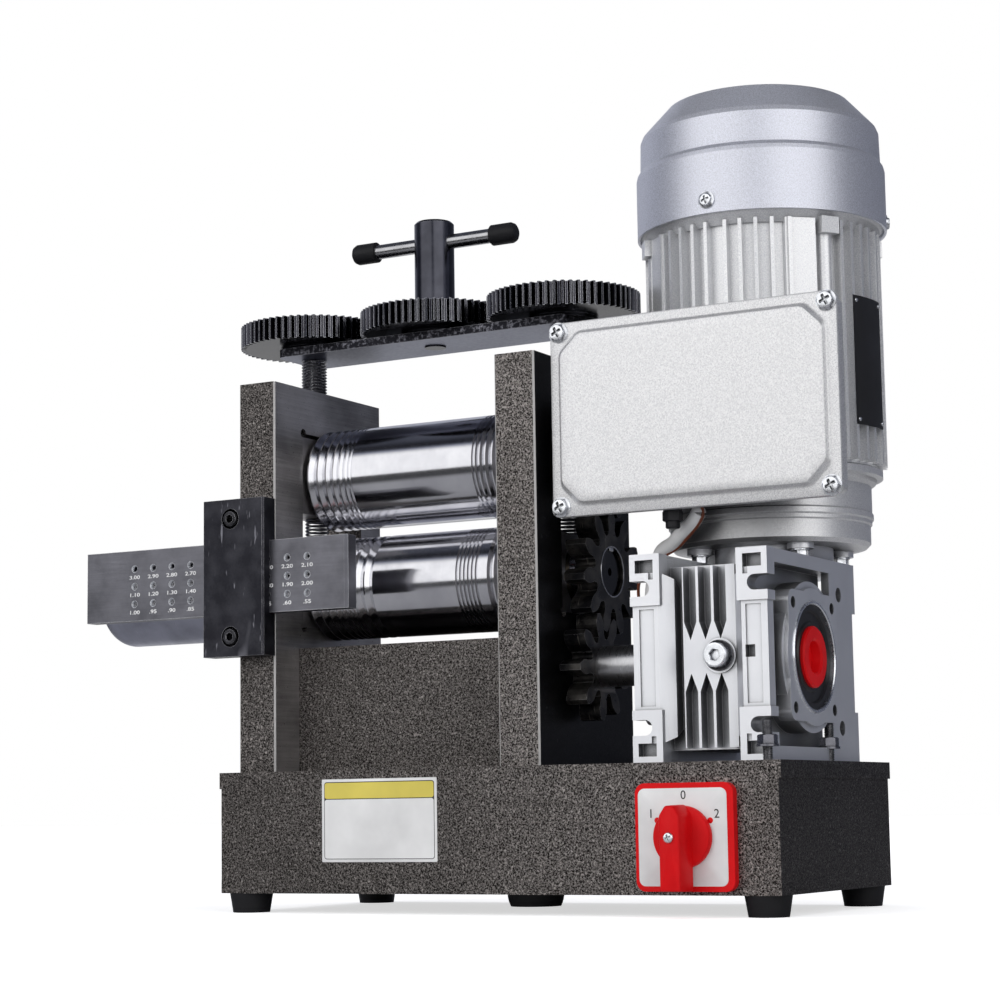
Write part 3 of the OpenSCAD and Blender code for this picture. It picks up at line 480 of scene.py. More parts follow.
class Finish(Tree):
    """A material on Object coordinates."""

    def __init__(self, name, **sockets):
        self.material = bpy.data.materials.new("mill_" + name)
        self.material.use_nodes = True
        super().__init__(self.material.node_tree)
        self.shader = self.tree.nodes["Principled BSDF"]
        for key, value in sockets.items():
            self.shader.inputs[key.replace("_", " ")].default_value = value
        self.place = self.node("ShaderNodeTexCoord").outputs["Object"]

    def along(self, axis):
        """The place along an axis, in metres."""
        return self.node("ShaderNodeSeparateXYZ", {0: self.place}).outputs[axis]

    def painted_hollow_shade(self, shade, reach, darkest, alone=True):
        """Painted shade: the colour, darkened where surfaces within reach (in millimetres) close a place in,
        as the lack of light does.  alone leaves other objects out."""
        open_sky = self.node("ShaderNodeAmbientOcclusion", {"Distance": reach * MM}, samples=6,
                             only_local=alone).outputs["AO"]
        level = self.ramp(open_sky, 0.3, 0.9, darkest, 1.0)
        return self.node("ShaderNodeMix", {0: 1.0, 6: shade, 7: level}, data_type="RGBA",
                         blend_type="MULTIPLY").outputs[2]

    def stretched(self, x, y, z):
        """Object coordinates stretched by three factors."""
        return self.node("ShaderNodeMapping", {"Vector": self.place, "Scale": (x, y, z)}).outputs[0]

    def noise(self, scale, detail=2.0, rough=0.5, vector=None, distortion=0.0):
        """Soft noise, 0 to 1, scale being its waves to a metre."""
        return self.node("ShaderNodeTexNoise", {"Vector": vector or self.place, "Scale": scale,
                                                "Detail": detail, "Roughness": rough,
                                                "Distortion": distortion}).outputs["Fac"]

    def wrinkles(self):
        """The hammertone paint's height and its share of bright fleck: light crests of the wrinkles, and
        sparse painted glints.
        """
        crept = self.noise(1000, rough=0.6, distortion=0.8)
        # painted glints: sparse bright specks where light would catch the paint
        spots = self.ramp(self.noise(560, detail=3, rough=0.7), 0.57, 0.70, 0, 0.8)
        return crept, self.plus(self.ramp(crept, 0.43, 0.62, 0, 0.6), spots)

    def patches(self, level):
        """The level, with patches a few centimetres wide."""
        return self.times(self.ramp(self.noise(11, detail=3), 0.3, 0.7, 0.8, 1.15), level)

    def normal_share(self, axis):
        """How far the true face looks along an axis, 0 to 1."""
        normal = self.node("ShaderNodeNewGeometry").outputs["True Normal"]
        parts = self.node("ShaderNodeSeparateXYZ", {0: normal}).outputs
        return self.math("ABSOLUTE", parts[axis])

    def edges(self, radius):
        """1 on sharp edges, 0 away from them: how far a bevel of this radius in millimetres turns a face."""
        bent = self.node("ShaderNodeBevel", {"Radius": radius * MM}, samples=4).outputs["Normal"]
        true = self.node("ShaderNodeNewGeometry").outputs["True Normal"]
        same = self.node("ShaderNodeVectorMath", {0: bent, 1: true}, operation="DOT_PRODUCT").outputs["Value"]
        return self.ramp(same, 0.99, 0.92)

    def mottled(self, share, tone, factor):
        """A colour from the panel, mixed with a darker or lighter kind of itself."""
        return self.mix(share, tint(tone), tint(tone, factor))

    def painted_edge_highlight(self, shade, radius, share, bare):
        """Painted highlight: the colour, mixed on sharp edges with a share of a bright colour."""
        return self.mix(self.times(self.edges(radius), share), shade, (*bare, 1))

    def set(self, **outputs):
        """Joins outputs to the shader's sockets."""
        for key, value in outputs.items():
            self.tree.links.new(value, self.shader.inputs[key.replace("_", " ")])
        return self

    def bump(self, height, strength, distance):
        """Raises the surface by the height's share of a distance in millimetres, and gives the material."""
        bump = self.node("ShaderNodeBump", {"Height": height, "Strength": strength,
                                            "Distance": distance * MM})
        return self.set(Normal=bump.outputs["Normal"]).material


def hammertone(name):
    """Dark bronze paint that has crept into fine wrinkles while drying, with painted glare that makes it
    lighter towards the motor and painted shade that darkens its end faces.
    """
    f = Finish(name, Metallic=0.9, Roughness=0.4)
    crept, fleck = f.wrinkles()
    # painted glare: the paint lighter towards the motor, darker towards the left end
    painted_glare = f.ramp(f.along("X"), -0.16, 0.12, 0.78, 1.12)
    # painted shade: faces that look along X, such as the base's ends, are darker
    cloud = f.times(f.patches(painted_glare), f.ramp(f.normal_share(0), 0.3, 0.8, 1.0, 0.35))
    shade = f.mix(f.times(fleck, cloud), tint("paint_dark"), tint("paint_light"))
    return f.set(Base_Color=shade, Roughness=f.ramp(fleck, 0, 1, 0.5, 0.3)).bump(crept, 0.8, 0.45)


def stand_paint(name):
    """The same paint on the stand's plates, with a painted glare towards the motor: their inner faces are
    bare machined steel with oily stains, the outer ones smooth and near-black, dark paint with painted shade
    in it, the bevels bright."""
    f = Finish(name, Metallic=0.9, Roughness=0.4)
    crept, fleck = f.wrinkles()
    along = f.along("X")
    # painted glare: the paint lighter towards the motor
    cloud = f.patches(f.ramp(along, -0.12, 0.0, 0.9, 1.45))
    paint = f.mix(f.times(fleck, cloud), tint("paint_dark"), tint("paint_light"))
    side = f.over(f.normal_share(0), 0.8)
    bevel = f.over(f.math("MINIMUM", f.normal_share(0), f.normal_share(1)), 0.5)
    lines = f.noise(1, detail=3, vector=f.stretched(40, 25, 900))
    stains = f.plus(f.times(lines, 0.25), f.times(f.noise(20, detail=4), 0.75))
    steel = f.mix(f.ramp(stains, 0.36, 0.64), tint("machined_dark"), tint("bare_steel"))
    reach = f.math("ABSOLUTE", f.plus(along, PLATE_LINE))
    # outer faces near-black: dark paint and painted shade
    steel = f.mix(f.over(reach, PLATE_REACH), steel, tint("plate_outer_paint_and_shade"))
    shade = f.mix(bevel, f.mix(side, paint, steel), tint("bevel"))
    rough = f.plus(f.ramp(fleck, 0, 1, 0.5, 0.3), f.times(side, -0.04))
    f.set(Metallic=f.times(f.math("SUBTRACT", 1.0, bevel), 0.9))
    height = f.times(crept, f.math("SUBTRACT", 1.0, side))
    return f.set(Base_Color=shade, Roughness=rough).bump(height, 0.8, 0.45)


def polished_rolls():
    """Bright ground steel with hair-fine turning marks round the axis; the ends in the gears are black."""
    f = Finish("roll_mirror", Metallic=1.0, Roughness=0.13, Anisotropic=0.4)
    rings = f.noise(1, detail=6, rough=0.7, vector=f.stretched(2600, 20, 20))
    wear = f.noise(28, detail=5, rough=0.6)
    shade = f.mix(f.ramp(wear, 0.35, 0.75), tint("roll_steel"), tint("roll_dull"))
    shade = f.mix(f.over(f.along("X"), ROLL_END), shade, tint("roll_end"))
    rough = f.plus(f.ramp(rings, 0.3, 0.7, 0.09, 0.18), f.ramp(wear, 0.5, 0.8, 0.0, 0.08))
    return f.set(Base_Color=shade, Roughness=rough).bump(rings, 0.08, 0.02)


def turned_steel(name, tone, axis, rough=0.28, strength=0.12, deep_shade=False, edge=0.0):
    """Bare steel with tool marks that run round or along one axis; painted shade darkens the hollows of some
    pieces, and a painted highlight lights the edges of others.
    """
    f = Finish(name, Metallic=1.0, Roughness=rough)
    scale = [60, 60, 60]
    scale[axis] = 1700
    lines = f.noise(1, detail=5, rough=0.65, vector=f.stretched(*scale))
    stain = f.noise(35, detail=4, rough=0.6)
    shade = f.mottled(f.ramp(stain, 0.3, 0.75), tone, 0.62)
    # painted shade: deep and closed in by other parts for the bronze bushes, shallow in the grooves of
    # upright pieces
    if deep_shade:
        shade = f.painted_hollow_shade(shade, 14, 0.04, alone=False)
    elif axis == 2:
        shade = f.painted_hollow_shade(shade, 1.2, 0.15)
    # painted highlight along the edges
    if edge:
        shade = f.painted_edge_highlight(shade, 0.6, edge, (0.9, 0.9, 0.92))
    wear = f.plus(f.ramp(lines, 0.3, 0.7, rough - 0.07, rough + 0.1), f.ramp(stain, 0.5, 0.8, 0, 0.1))
    return f.set(Base_Color=shade, Roughness=wear).bump(lines, strength, 0.03)


def scratched_black(name, tone="black_oxide", rough=0.36, rubbed=0.35, edge=0.5, worn=(0.21, 0.21, 0.24)):
    """Blued black steel with scratches that show bright metal, rubbed patches, and worn edges that are also a
    painted highlight.
    """
    f = Finish(name, Metallic=0.8, Roughness=rough)
    scratch = 0.0
    # three sets of scratches: (turn of the set, stretch along it, noise level from which a scratch shows)
    for turn, scale, least in (((0.5, 0.2, 0.7), (420, 9, 60), 0.66), ((-0.3, 0.9, -0.5), (30, 380, 8), 0.68),
                               ((0.1, -0.6, 0.3), (190, 14, 30), 0.70)):
        line = f.node("ShaderNodeMapping", {"Vector": f.place, "Rotation": turn, "Scale": scale}).outputs[0]
        scratch = f.math("MAXIMUM", f.ramp(f.noise(1, vector=line), least, least + 0.05), scratch)
    rub = f.ramp(f.noise(60, detail=5, rough=0.65), 0.42, 0.75, 0.0, rubbed)
    # bright edges: real wear, and also a painted highlight along them
    wear = f.times(f.edges(0.5), f.ramp(f.noise(150, detail=3), 0.35, 0.6, 0.3, 1.0))
    wear = f.times(wear, edge)
    bare = f.math("MAXIMUM", f.math("MAXIMUM", f.times(scratch, 0.9), rub), wear)
    shade = f.mix(wear, f.mix(bare, tint(tone), (*worn, 1)), (0.6, 0.6, 0.62, 1))
    level = f.ramp(f.noise(240, detail=3), 0.3, 0.7, rough - 0.08, rough + 0.12)
    return f.set(Base_Color=shade, Roughness=level).bump(scratch, 0.1, 0.03)


def oiled_black(name, tone, rough=0.16, edge=0.7):
    """Blued steel under oil: a dark, even mirror, with a painted highlight along its rounded edges."""
    f = Finish(name, Metallic=1.0, Roughness=rough)
    smear = f.noise(70, detail=4, rough=0.6)
    shade = f.mottled(f.ramp(smear, 0.4, 0.7), tone, 1.5)
    # painted highlight along the edges
    shade = f.painted_edge_highlight(shade, 0.35, edge, (0.75, 0.76, 0.8))
    return f.set(Base_Color=shade, Roughness=f.ramp(smear, 0.3, 0.7, rough - 0.05, rough + 0.08)).material


def rolled_plate():
    """A blued plate: smooth on its broad faces, with dark mill scale on the sawn ones and a painted highlight
    on its edges.
    """
    f = Finish("bridge_blue", Metallic=0.9, Roughness=0.35)
    broad = f.over(f.normal_share(2), 0.7)
    scale = f.noise(420, detail=4, rough=0.65)
    flat = f.mix(f.ramp(f.noise(14), 0.3, 0.7), tint("bridge"), tint("bridge_dull"))
    sawn = f.mix(f.ramp(scale, 0.5, 0.72), tint("mill_scale"), tint("scale_worn"))
    # painted highlight along the edges
    shade = f.painted_edge_highlight(f.mix(broad, sawn, flat), 0.5, 0.35, (0.6, 0.6, 0.64))
    height = f.times(scale, f.math("SUBTRACT", 1.0, broad))
    return f.set(Base_Color=shade, Roughness=f.ramp(scale, 0.3, 0.7, 0.28, 0.42)).bump(height, 0.7, 0.4)


def plated(name, tone, rough=0.24):
    """Plated or polished steel: bright and even, a little mottled, with painted shade in its hollows."""
    f = Finish(name, Metallic=1.0, Roughness=rough)
    shade = f.mottled(f.ramp(f.noise(180, detail=3), 0.35, 0.7), tone, 0.82)
    level = f.ramp(f.noise(300), 0.3, 0.7, rough - 0.06, rough + 0.1)
    # painted shade in the hollows
    return f.set(Base_Color=f.painted_hollow_shade(shade, 2.2, 0.04), Roughness=level).material


def cast_aluminium():
    """Blasted casting: a bright fine grain under faint clouds, with painted shade in its hollows and a
    painted highlight on its edges.
    """
    f = Finish("blasted_casting", Metallic=0.85, Roughness=0.38)
    grain = f.noise(1100, detail=3, rough=0.7)
    cloud = f.ramp(f.noise(26, detail=4), 0.3, 0.7, 0.0, 0.3)
    # painted shade in the grooves and hollows
    shade = f.painted_hollow_shade(f.mix(cloud, tint("cast"), tint("cast_dull")), 18, 0.13)
    # painted highlight along the edges
    shade = f.painted_edge_highlight(shade, 0.7, 0.7, (0.95, 0.95, 0.97))
    return f.set(Base_Color=shade, Roughness=f.ramp(grain, 0.3, 0.7, 0.30, 0.46)).bump(grain, 0.3, 0.08)


def silver_paint(name, tone, fleck=0.16, reach=12, darkest=0.4, alone=True, edge=0.0):
    """Metallic paint: fine flakes that shimmer over a soft orange-peel surface, with painted shade in its
    hollows and, where asked, a painted highlight on its edges.
    """
    f = Finish(name, Metallic=0.8, Roughness=0.42, Coat_Weight=0.12, Coat_Roughness=0.25)
    flakes = f.noise(1500, rough=0.6)
    shade = f.mix(f.ramp(flakes, 0.35, 0.65), tint(tone, 1 - fleck), tint(tone, 1 + fleck))
    # painted shade in the hollows; without alone it also falls where other parts close in
    shade = f.painted_hollow_shade(shade, reach, darkest, alone)
    # painted highlight along the edges
    if edge:
        shade = f.painted_edge_highlight(shade, 0.6, edge, (0.97, 0.97, 0.98))
    height = f.plus(f.times(flakes, 0.5), f.noise(260))
    return f.set(Base_Color=shade, Roughness=f.ramp(flakes, 0.3, 0.7, 0.36, 0.5)).bump(height, 0.3, 0.06)


def moulded(name, tone, rough=0.3, grain=700, strength=0.08, shine=0.5):
    """Moulded plastic or rubber with a faint skin and patches of handling."""
    f = Finish(name, Roughness=rough, Specular_IOR_Level=shine)
    cloud = f.noise(40, detail=3)
    shade = f.mottled(f.ramp(cloud, 0.3, 0.75), tone, 0.82)
    level = f.ramp(cloud, 0.3, 0.7, rough - 0.04, rough + 0.09)
    return f.set(Base_Color=shade, Roughness=level).bump(f.noise(grain), strength, 0.05)


def node_finishes():
    """The finish of every CAD node, by the nodes' names."""
    return {
        "base_top base_front base_rear base_left_end base_right_end base_bottom front_panel rear_panel":
            hammertone("hammertone_paint"),
        "left_side_plate right_side_plate": stand_paint("hammertone_stand"),
        "rubber_feet handle_caps": moulded("black_rubber", "rubber", rough=0.5, strength=0.2, shine=0.3),
        "output_seal": moulded("seal_rubber", "gear_black", rough=0.34),
        "lower_bearing_blocks upper_bearing_blocks":
            turned_steel("milled_steel", "bare_steel", 2, rough=0.38),
        # the bushes get deep painted shade from the parts round them
        "lower_bushes upper_bushes": turned_steel("bearing_bronze", "bronze", 0, rough=0.35, deep_shade=True),
        "lift_springs": turned_steel("spring_steel", "ground_steel", 2, rough=0.3),
        "lower_roll upper_roll": polished_rolls(),
        "winding_drum": turned_steel("drum_steel", "drum", 0, rough=0.34),
        "draw_plate": turned_steel("draw_plate_steel", "ground_steel", 2, rough=0.42, edge=0.6),
        "clamp_block": scratched_black("clamp_black", rubbed=0.22),
        "t_handle": oiled_black("handle_black", "blued", 0.17, edge=0.4),
        "bridge_plate": rolled_plate(),
        "handle_bar": turned_steel("bright_bar", "shaft_steel", 0, rough=0.2),
        "output_shaft": turned_steel("turned_shaft", "shaft_steel", 0, rough=0.3),
        "left_adjust_gear centre_adjust_gear right_adjust_gear": oiled_black("gear_black", "oiled"),
        "lower_roll_gear upper_roll_gear drive_pinion":
            scratched_black("roll_gear_black", "gear_black", 0.34, rubbed=0.6, edge=0.35,
                            worn=(0.20, 0.185, 0.165)),
        "left_adjust_screw right_adjust_screw":
            turned_steel("screw_black", "ground_steel", 2, rough=0.22, edge=0.9),
        "gearbox_housing": cast_aluminium(),
        "fan_cowl": silver_paint("motor_silver", "silver"),
        # the barrel: painted highlight on its fins' edges
        "motor_body": silver_paint("barrel_silver", "cast", reach=5, darkest=0.75, edge=0.8),
        # the flange: deep painted shade, reaching under it to the gearbox
        "motor_flange": silver_paint("flange_silver", "cover", reach=36, darkest=0.12, alone=False, edge=0.4),
        "terminal_box terminal_cover": silver_paint("cover_silver", "cover", fleck=0.3),
        "red_cap switch_plate switch_knob": moulded("red_plastic", "red", rough=0.34, shine=0.12),
        "supply_cable": moulded("white_sleeve", "white", rough=0.5),
    }


def small_finishes():
    """Makes the finishes that only the pieces made here wear."""
    plated("zinc_bolt", "zinc")
    plated("lip_steel", "zinc")
    plated("nut_grey", "ground_steel")
    # bright zinc for the dies' funnels, partly a painted highlight
    plated("die_cone", "zinc", 0.5)
    scratched_black("socket_black", "gear_black", 0.3)
    moulded("stamped_white", "white", rough=0.6)
    moulded("panel_white", "white", rough=0.35)
    moulded("panel_ink", "gear_black", rough=0.45)
    moulded("label_yellow", "yellow", rough=0.4)
    moulded("brown_wire", "brown", rough=0.35)


class MILL_OT_finishes(bpy.types.Operator):
    """Gives every CAD piece its finish and makes the small pieces' finishes"""
    bl_idname = "mill.finishes"
    bl_label = "Finishes"

    def execute(self, context):
        for names, material in node_finishes().items():
            for name in names.split():
                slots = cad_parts[name].data.materials
                slots.clear()
                slots.append(material)
        small_finishes()
        return {"FINISHED"}


# ---------------------------------------------------------------- small pieces

class MILL_OT_threads(bpy.types.Operator):
    """Cuts the thread of the two adjusting screws"""
    bl_idname = "mill.threads"
    bl_label = "Adjusting screws"

    def execute(self, context):
        pitch, depth = sizes("thread_pitch"), sizes("thread_depth")
        a = turn_angles(40)
        for side, box in (("left", LEFT_SCREW), ("right", RIGHT_SCREW)):
            low, top = box.lo[2], box.hi[2]
            outer = box.size[0] / 2
            z = np.arange(low + 1, BRIDGE.lo[2] - 0.1, pitch / 8)
            # the crest follows a helix: the depth is a triangle wave of height over pitch less turn
            wave = np.abs(((z[:, None] - low) / pitch - a / (2 * math.pi)) % 1 - 0.5) * 2
            thread = outer - depth * np.clip(wave * 1.3 - 0.15, 0, 1)
            heights = [low, *z, z[-1] + 0.1, top - 0.5, top]
            rings = rings_of([outer - 1.5, *thread, 6.9, 6.9, 6.2], heights, a)
            skin = placed(capped(rings), [*box.mid[:2], 0])
            piece(f"{side}_thread", skin, "screw_black", f"{side}_screw", smooth=50,
                  replaces=[f"{side}_adjust_screw"], slot="black_oxide")
        return {"FINISHED"}


class MILL_OT_springs(bpy.types.Operator):
    """Winds the lift springs between the bearing blocks"""
    bl_idname = "mill.springs"
    bl_label = "Lift springs"

    def execute(self, context):
        wire = sizes("spring_wire") / 2
        lo, hi = SPRINGS.lo, SPRINGS.hi
        outer = SPRINGS.size[1] / 2
        turns = 11.5
        t = np.linspace(0, 1, int(turns * 32))
        # a helix whose rise is slow at both ends, so that the end coils lie flat
        rise = np.clip((t * turns - 0.8) / (turns - 1.6), 0, 1)
        coil = np.column_stack([(outer - wire) * np.cos(2 * math.pi * turns * t),
                                (outer - wire) * np.sin(2 * math.pi * turns * t),
                                wire + rise * (hi[2] - lo[2] - 2 * wire)])
        spots = [[x, SPRINGS.mid[1], lo[2]] for x in (lo[0] + outer, hi[0] - outer)]
        springs = piece("lift_coils", copies(tube(coil, wire, sides=10), spots), "spring_steel", body=None,
                        replaces=["lift_springs"], slot="spring_steel")
        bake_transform(springs)
        return {"FINISHED"}


class MILL_OT_cover(bpy.types.Operator):
    """Presses the terminal box's cover, with its raised panel, and screws it on"""
    bl_idname = "mill.cover"
    bl_label = "Terminal cover"

    def execute(self, context):
        w, h = COVER.size[[0, 2]]
        up = COVER.size[1]
        sheet = up - 3.5
        # (inset, corner radius, corner cut or None for a round corner, height), from the back to the panel
        layers = [(1.0, 5, None, 0), (0, 6, None, 0.8), (0, 6, None, sheet - 1.2),
                  (0.5, 6, None, sheet - 0.3), (1.4, 5, None, sheet),
                  (5.6, 8, 12.4, sheet), (6.5, 8, 12.4, sheet + 0.25),
                  (7.1, 7.8, 12.3, sheet + 0.8), (7.9, 7.6, 12.2, sheet + 2.6), (8.4, 7.4, 12.1, sheet + 3.2),
                  (9.4, 7.2, 12, up - 0.03), (13.5, 7, 11.6, up), (30, 5, 8, up + 0.05)]
        outlines = [(cut_rectangle(w - 2 * inset, h - 2 * inset, r, cut, steps=7), z)
                    for inset, r, cut, z in layers]
        shell = placed(stacked(outlines), [COVER.mid[0], COVER.hi[1], COVER.mid[2]], up=-Y)
        piece("cover_shell", shell, "cover_silver", smooth=30, replaces=["terminal_cover"],
              slot="silver_paint")
        inset = 6.2
        spots = [[x, COVER.hi[1] - sheet, z] for x in (COVER.lo[0] + inset, COVER.hi[0] - inset)
                 for z in (COVER.lo[2] + inset, COVER.hi[2] - inset)]
        head = cross_head(5.1, 3.8, flange=6.2, across=8.9)
        piece("cover_screws", copies(head, spots, up=-Y, across=X + 0.5 * Z), "zinc_bolt")
        return {"FINISHED"}


class MILL_OT_bolts(bpy.types.Operator):
    """Adds the clamp's screws, the oil plug, the motor's bolts, the cowl's screws and the gearbox's studs"""
    bl_idname = "mill.bolts"
    bl_label = "Bolts and screws"

    def execute(self, context):
        x = CLAMP.lo[0] + 0.45 * CLAMP.size[0]
        spots = [[x, CLAMP.lo[1] + 7, CLAMP.mid[2] + side * 37.5] for side in (-1, 1)]
        piece("clamp_screws", copies(cap_screw(5.0, 8.2, 4.6), spots, up=-Y), "socket_black")
        # oil plug in the gearbox's front
        plug = np.array([GEAR_X + 9, GEARBOX.lo[1], WHEEL_Z])
        # a black washer under the plug, which also paints the plug's shadow on the boss behind it
        piece("plug_washer", placed(disc(8.9, 0.9, 0.3, 0.3), plug + 7.2 * Y, up=-Y), "socket_black")
        piece("oil_plug", placed(cap_screw(7.2, 6.0, 6.2), plug + 6.6 * Y, up=-Y, across=X + 0.3 * Z),
              "zinc_bolt", smooth=22)
        # motor bolts: heads under the flange's ears
        bolt = join(disc(5.8, 1.0, 0.2, 0.2), placed(hex_head(9, 4.2), [0, 0, 1.0]))
        reach = 46 * math.sqrt(0.5)
        spots = [[GEAR_X + i * reach, MOTOR_Y + j * reach, FLANGE.lo[2] - 3.5]
                 for i in (-1, 1) for j in (-1, 1)]
        piece("motor_bolts", copies(bolt, spots, up=-Z), "zinc_bolt")
        # cowl screws round its lower band
        head = cross_head(3.9, 2.6, flange=5.2, across=7.2)
        middle = np.array([GEAR_X, MOTOR_Y, COWL.lo[2] + 8])
        screws = []
        for angle in (-92, 28, 148):
            out = in_circle(math.radians(angle))
            across = Z + 0.3 * np.cross(out, Z)
            screws.append(placed(head, middle + COWL.size[0] / 2 * out, up=out, across=across))
        piece("cowl_screws", join(*screws), "zinc_bolt")
        # studs and nuts that hold the gearbox to the base; a stud's radius steps in and out as a thread does
        steps = [(2.9 - 0.35 * (i % 4 > 1), 0.25 * i) for i in range(88)]
        nut = join(disc(6.4, 1.4, 0.2, 0.2), placed(hex_head(10, 5.4), [0, 0, 1.4]))
        spots = [np.array([GEARBOX.hi[0] - 5, GEARBOX.lo[1] + y, BASE_TOP]) for y in (-1.5, 92)]
        piece("gearbox_studs", copies(revolve(steps + [(2.2, 22.4)], 24), spots), "socket_black")
        piece("stud_nuts", copies(nut, [spot + 7.5 * Z for spot in spots]), "nut_grey")
        return {"FINISHED"}


class MILL_OT_gland(bpy.types.Operator):
    """Screws the lead's black gland under the terminal box"""
    bl_idname = "mill.gland"
    bl_label = "Cable gland"

    def execute(self, context):
        gland = join(disc(5.6, 3.4, 0.6, 0.4), placed(hex_head(10.5, 6), [0, 0, 3]),
                     placed(disc(4.3, 4.2, 0.6, 0.6), [0, 0, 8.8]))
        piece("cable_gland", placed(gland, [GEAR_X - 26.5, -52, TERMINAL.lo[2] + 0.4], up=-Z), "black_rubber")
        return {"FINISHED"}


class MILL_OT_fan(bpy.types.Operator):
    """Puts the cooling fan on the motor, inside its cowl"""
    bl_idname = "mill.fan"
    bl_label = "Cooling fan"

    def execute(self, context):
        blade = round_plate(36, 2, 0.5, [(0, 0), (0, 12)])
        turns = [in_circle(turn) for turn in np.radians(np.arange(0, 360, 40))]
        blades = [placed(blade, 34 * out + 47 * Z, across=out) for out in turns]
        fan = join(disc(14, 60, 2, 2), placed(disc(52, 2.2, 0.5, 0.4, 72), [0, 0, 46]), *blades)
        piece("cooling_fan", placed(fan, [GEAR_X, MOTOR_Y, MOTOR.hi[2] - 1]), "black_rubber")
        return {"FINISHED"}


class MILL_OT_shaft_details(bpy.types.Operator):
    """Adds the lip round the output seal, and the keys and bright rims where the roll gears sit"""
    bl_idname = "mill.shaft_details"
    bl_label = "Seal lip and gear keys"

    def execute(self, context):
        r = SEAL.size[2] / 2
        lip = hoop([(r - 0.4, -1), (r - 0.4, 1.4), (r + 0.2, 2.0), (r + 1.3, 2.0), (r + 1.8, 1.4),
                    (r + 1.8, 0.5)], 96)
        piece("seal_lip", placed(lip, [SEAL.hi[0], WHEEL_Y, WHEEL_Z], up=X, across=Y), "lip_steel")
        rim = hoop([(15.0, -0.4), (15.2, 0.15), (15.8, 0.2), (16.2, -0.4)])
        key = round_plate(5, 4.5, 0.4, [(0, -2), (0, -0.6), (0.3, -0.3)])
        for name, box, z in (("lower", LOW_GEAR, LOW_AXIS[2]), ("upper", UP_GEAR, UP_AXIS_Z)):
            spot = np.array([box.hi[0], LOW_AXIS[1], z])
            for part, surface, rise in (("rim", rim, 0), ("key", key, 15)):
                piece(f"{name}_gear_{part}", placed(surface, spot + rise * Z, up=X, across=Y), "bright_bar",
                      f"{name}_roll")
        return {"FINISHED"}


class MILL_OT_numerals(bpy.types.Operator):
    """Stamps the dies' sizes under them in the draw plate and lines every die's funnel with polished metal
    whose bright tone paints its highlight
    """
    bl_idname = "mill.numerals"
    bl_label = "Die numerals"

    def execute(self, context):
        height = sizes("digit_height")
        dies, stamps = [], []
        for i, k in np.ndindex(DIE_COLUMNS, DIE_ROWS):
            value = (3 - 0.1 * i, 1.1 + 0.1 * i, 1 - 0.05 * i)[k]
            die = np.array([DRAW.lo[0] + DIE_START + DIE_PITCH * i, DRAW.lo[1],
                            DRAW.hi[2] - DIE_DOWN - DIE_ROW * k])
            points, faces = lettering(f"{value:.2f}".lstrip("0"), height, 0.07)
            stamps.append(placed((points * [1.5, 1, 1], faces), die - [0, 0.02, NUMERAL_DROP], up=-Y))
            dies.append(die)
        piece("die_numerals", join(*stamps), "stamped_white")
        # a cone: an open ring from the plate's face into the funnel, polished, its bright zinc a painted
        # highlight
        cone = grid(turned([(2.45, 0.04), (2.25, 0.0), (1.62, -1.3)], 28))
        piece("die_cones", copies(cone, dies, up=-Y), "die_cone")
        return {"FINISHED"}


class MILL_OT_switch(bpy.types.Operator):
    """Adds the switch's printed panel, its positions and marks, and the knob with its screw"""
    bl_idname = "mill.switch"
    bl_label = "Switch panel"

    def execute(self, context):
        middle = np.array([SWITCH_X, SWITCH.lo[1], SWITCH_Z])
        panel = round_plate(54.5, 54.5, 4, [(0, 0), (0, 0.25), (0.15, 0.35)])
        piece("switch_panel", placed(panel, middle - X, up=-Y), "panel_white")
        height = sizes("dial_height")
        marks = (("0", 0, 23.2), ("1", -20.2, 13.0), ("2", 20.3, 12.6))
        texts = [placed(lettering(text, height), middle + [x, -0.4, z], up=-Y) for text, x, z in marks]
        piece("switch_positions", join(*texts), "panel_ink")
        spots = [middle + [x, -0.35, z] for x, z in ((-16.4, 9.4), (16.2, 9.1))]
        piece("switch_dots", copies(disc(1.7, 0.2, 0.2, 0.1, 24), spots, up=-Y), "red_plastic")
        self.knob()
        spot = [SWITCH_X, KNOB.lo[1] - 0.1, SWITCH_Z]
        screw = placed(cross_head(2.9, 1.6), spot, up=-Y, across=X + 0.4 * Z)
        piece("knob_screw", screw, "zinc_bolt", body="switch_knob")
        return {"FINISHED"}

    def knob(self):
        """The turning knob: a round disc and a lever whose outline draws in towards its front."""
        base = [SWITCH_X, KNOB.lo[1] + 20.5, SWITCH_Z]
        r = KNOB.size[0] / 2
        round_disc = revolve([(r - 0.5, 0.2), (r, 0.7), (r, 3.6), (r - 0.6, 4.6), (r - 1.8, 5)], 96)
        low, top, half = KNOB.lo[2] - SWITCH_Z, KNOB.hi[2] - SWITCH_Z, 6.7
        line = rounded([(-half, low), (half, low), (half, top - 5.5), (2.6, top), (-2.6, top),
                        (-half, top - 5.5)], 1.4)
        middle = np.array([0, (low + top) / 2])
        outlines = []
        for inset, z in ((0, 4), (0.1, 8), (0.45, 19.3), (0.9, 20.1), (1.6, 20.5)):
            shrink = 1 - inset / np.array([half, (top - low) / 2])
            outlines.append(((line - middle) * shrink + middle, z))
        piece("knob", placed(join(round_disc, stacked(outlines)), base, up=-Y), "red_plastic",
              body="switch_knob", replaces=["switch_knob"], slot="red_plastic")


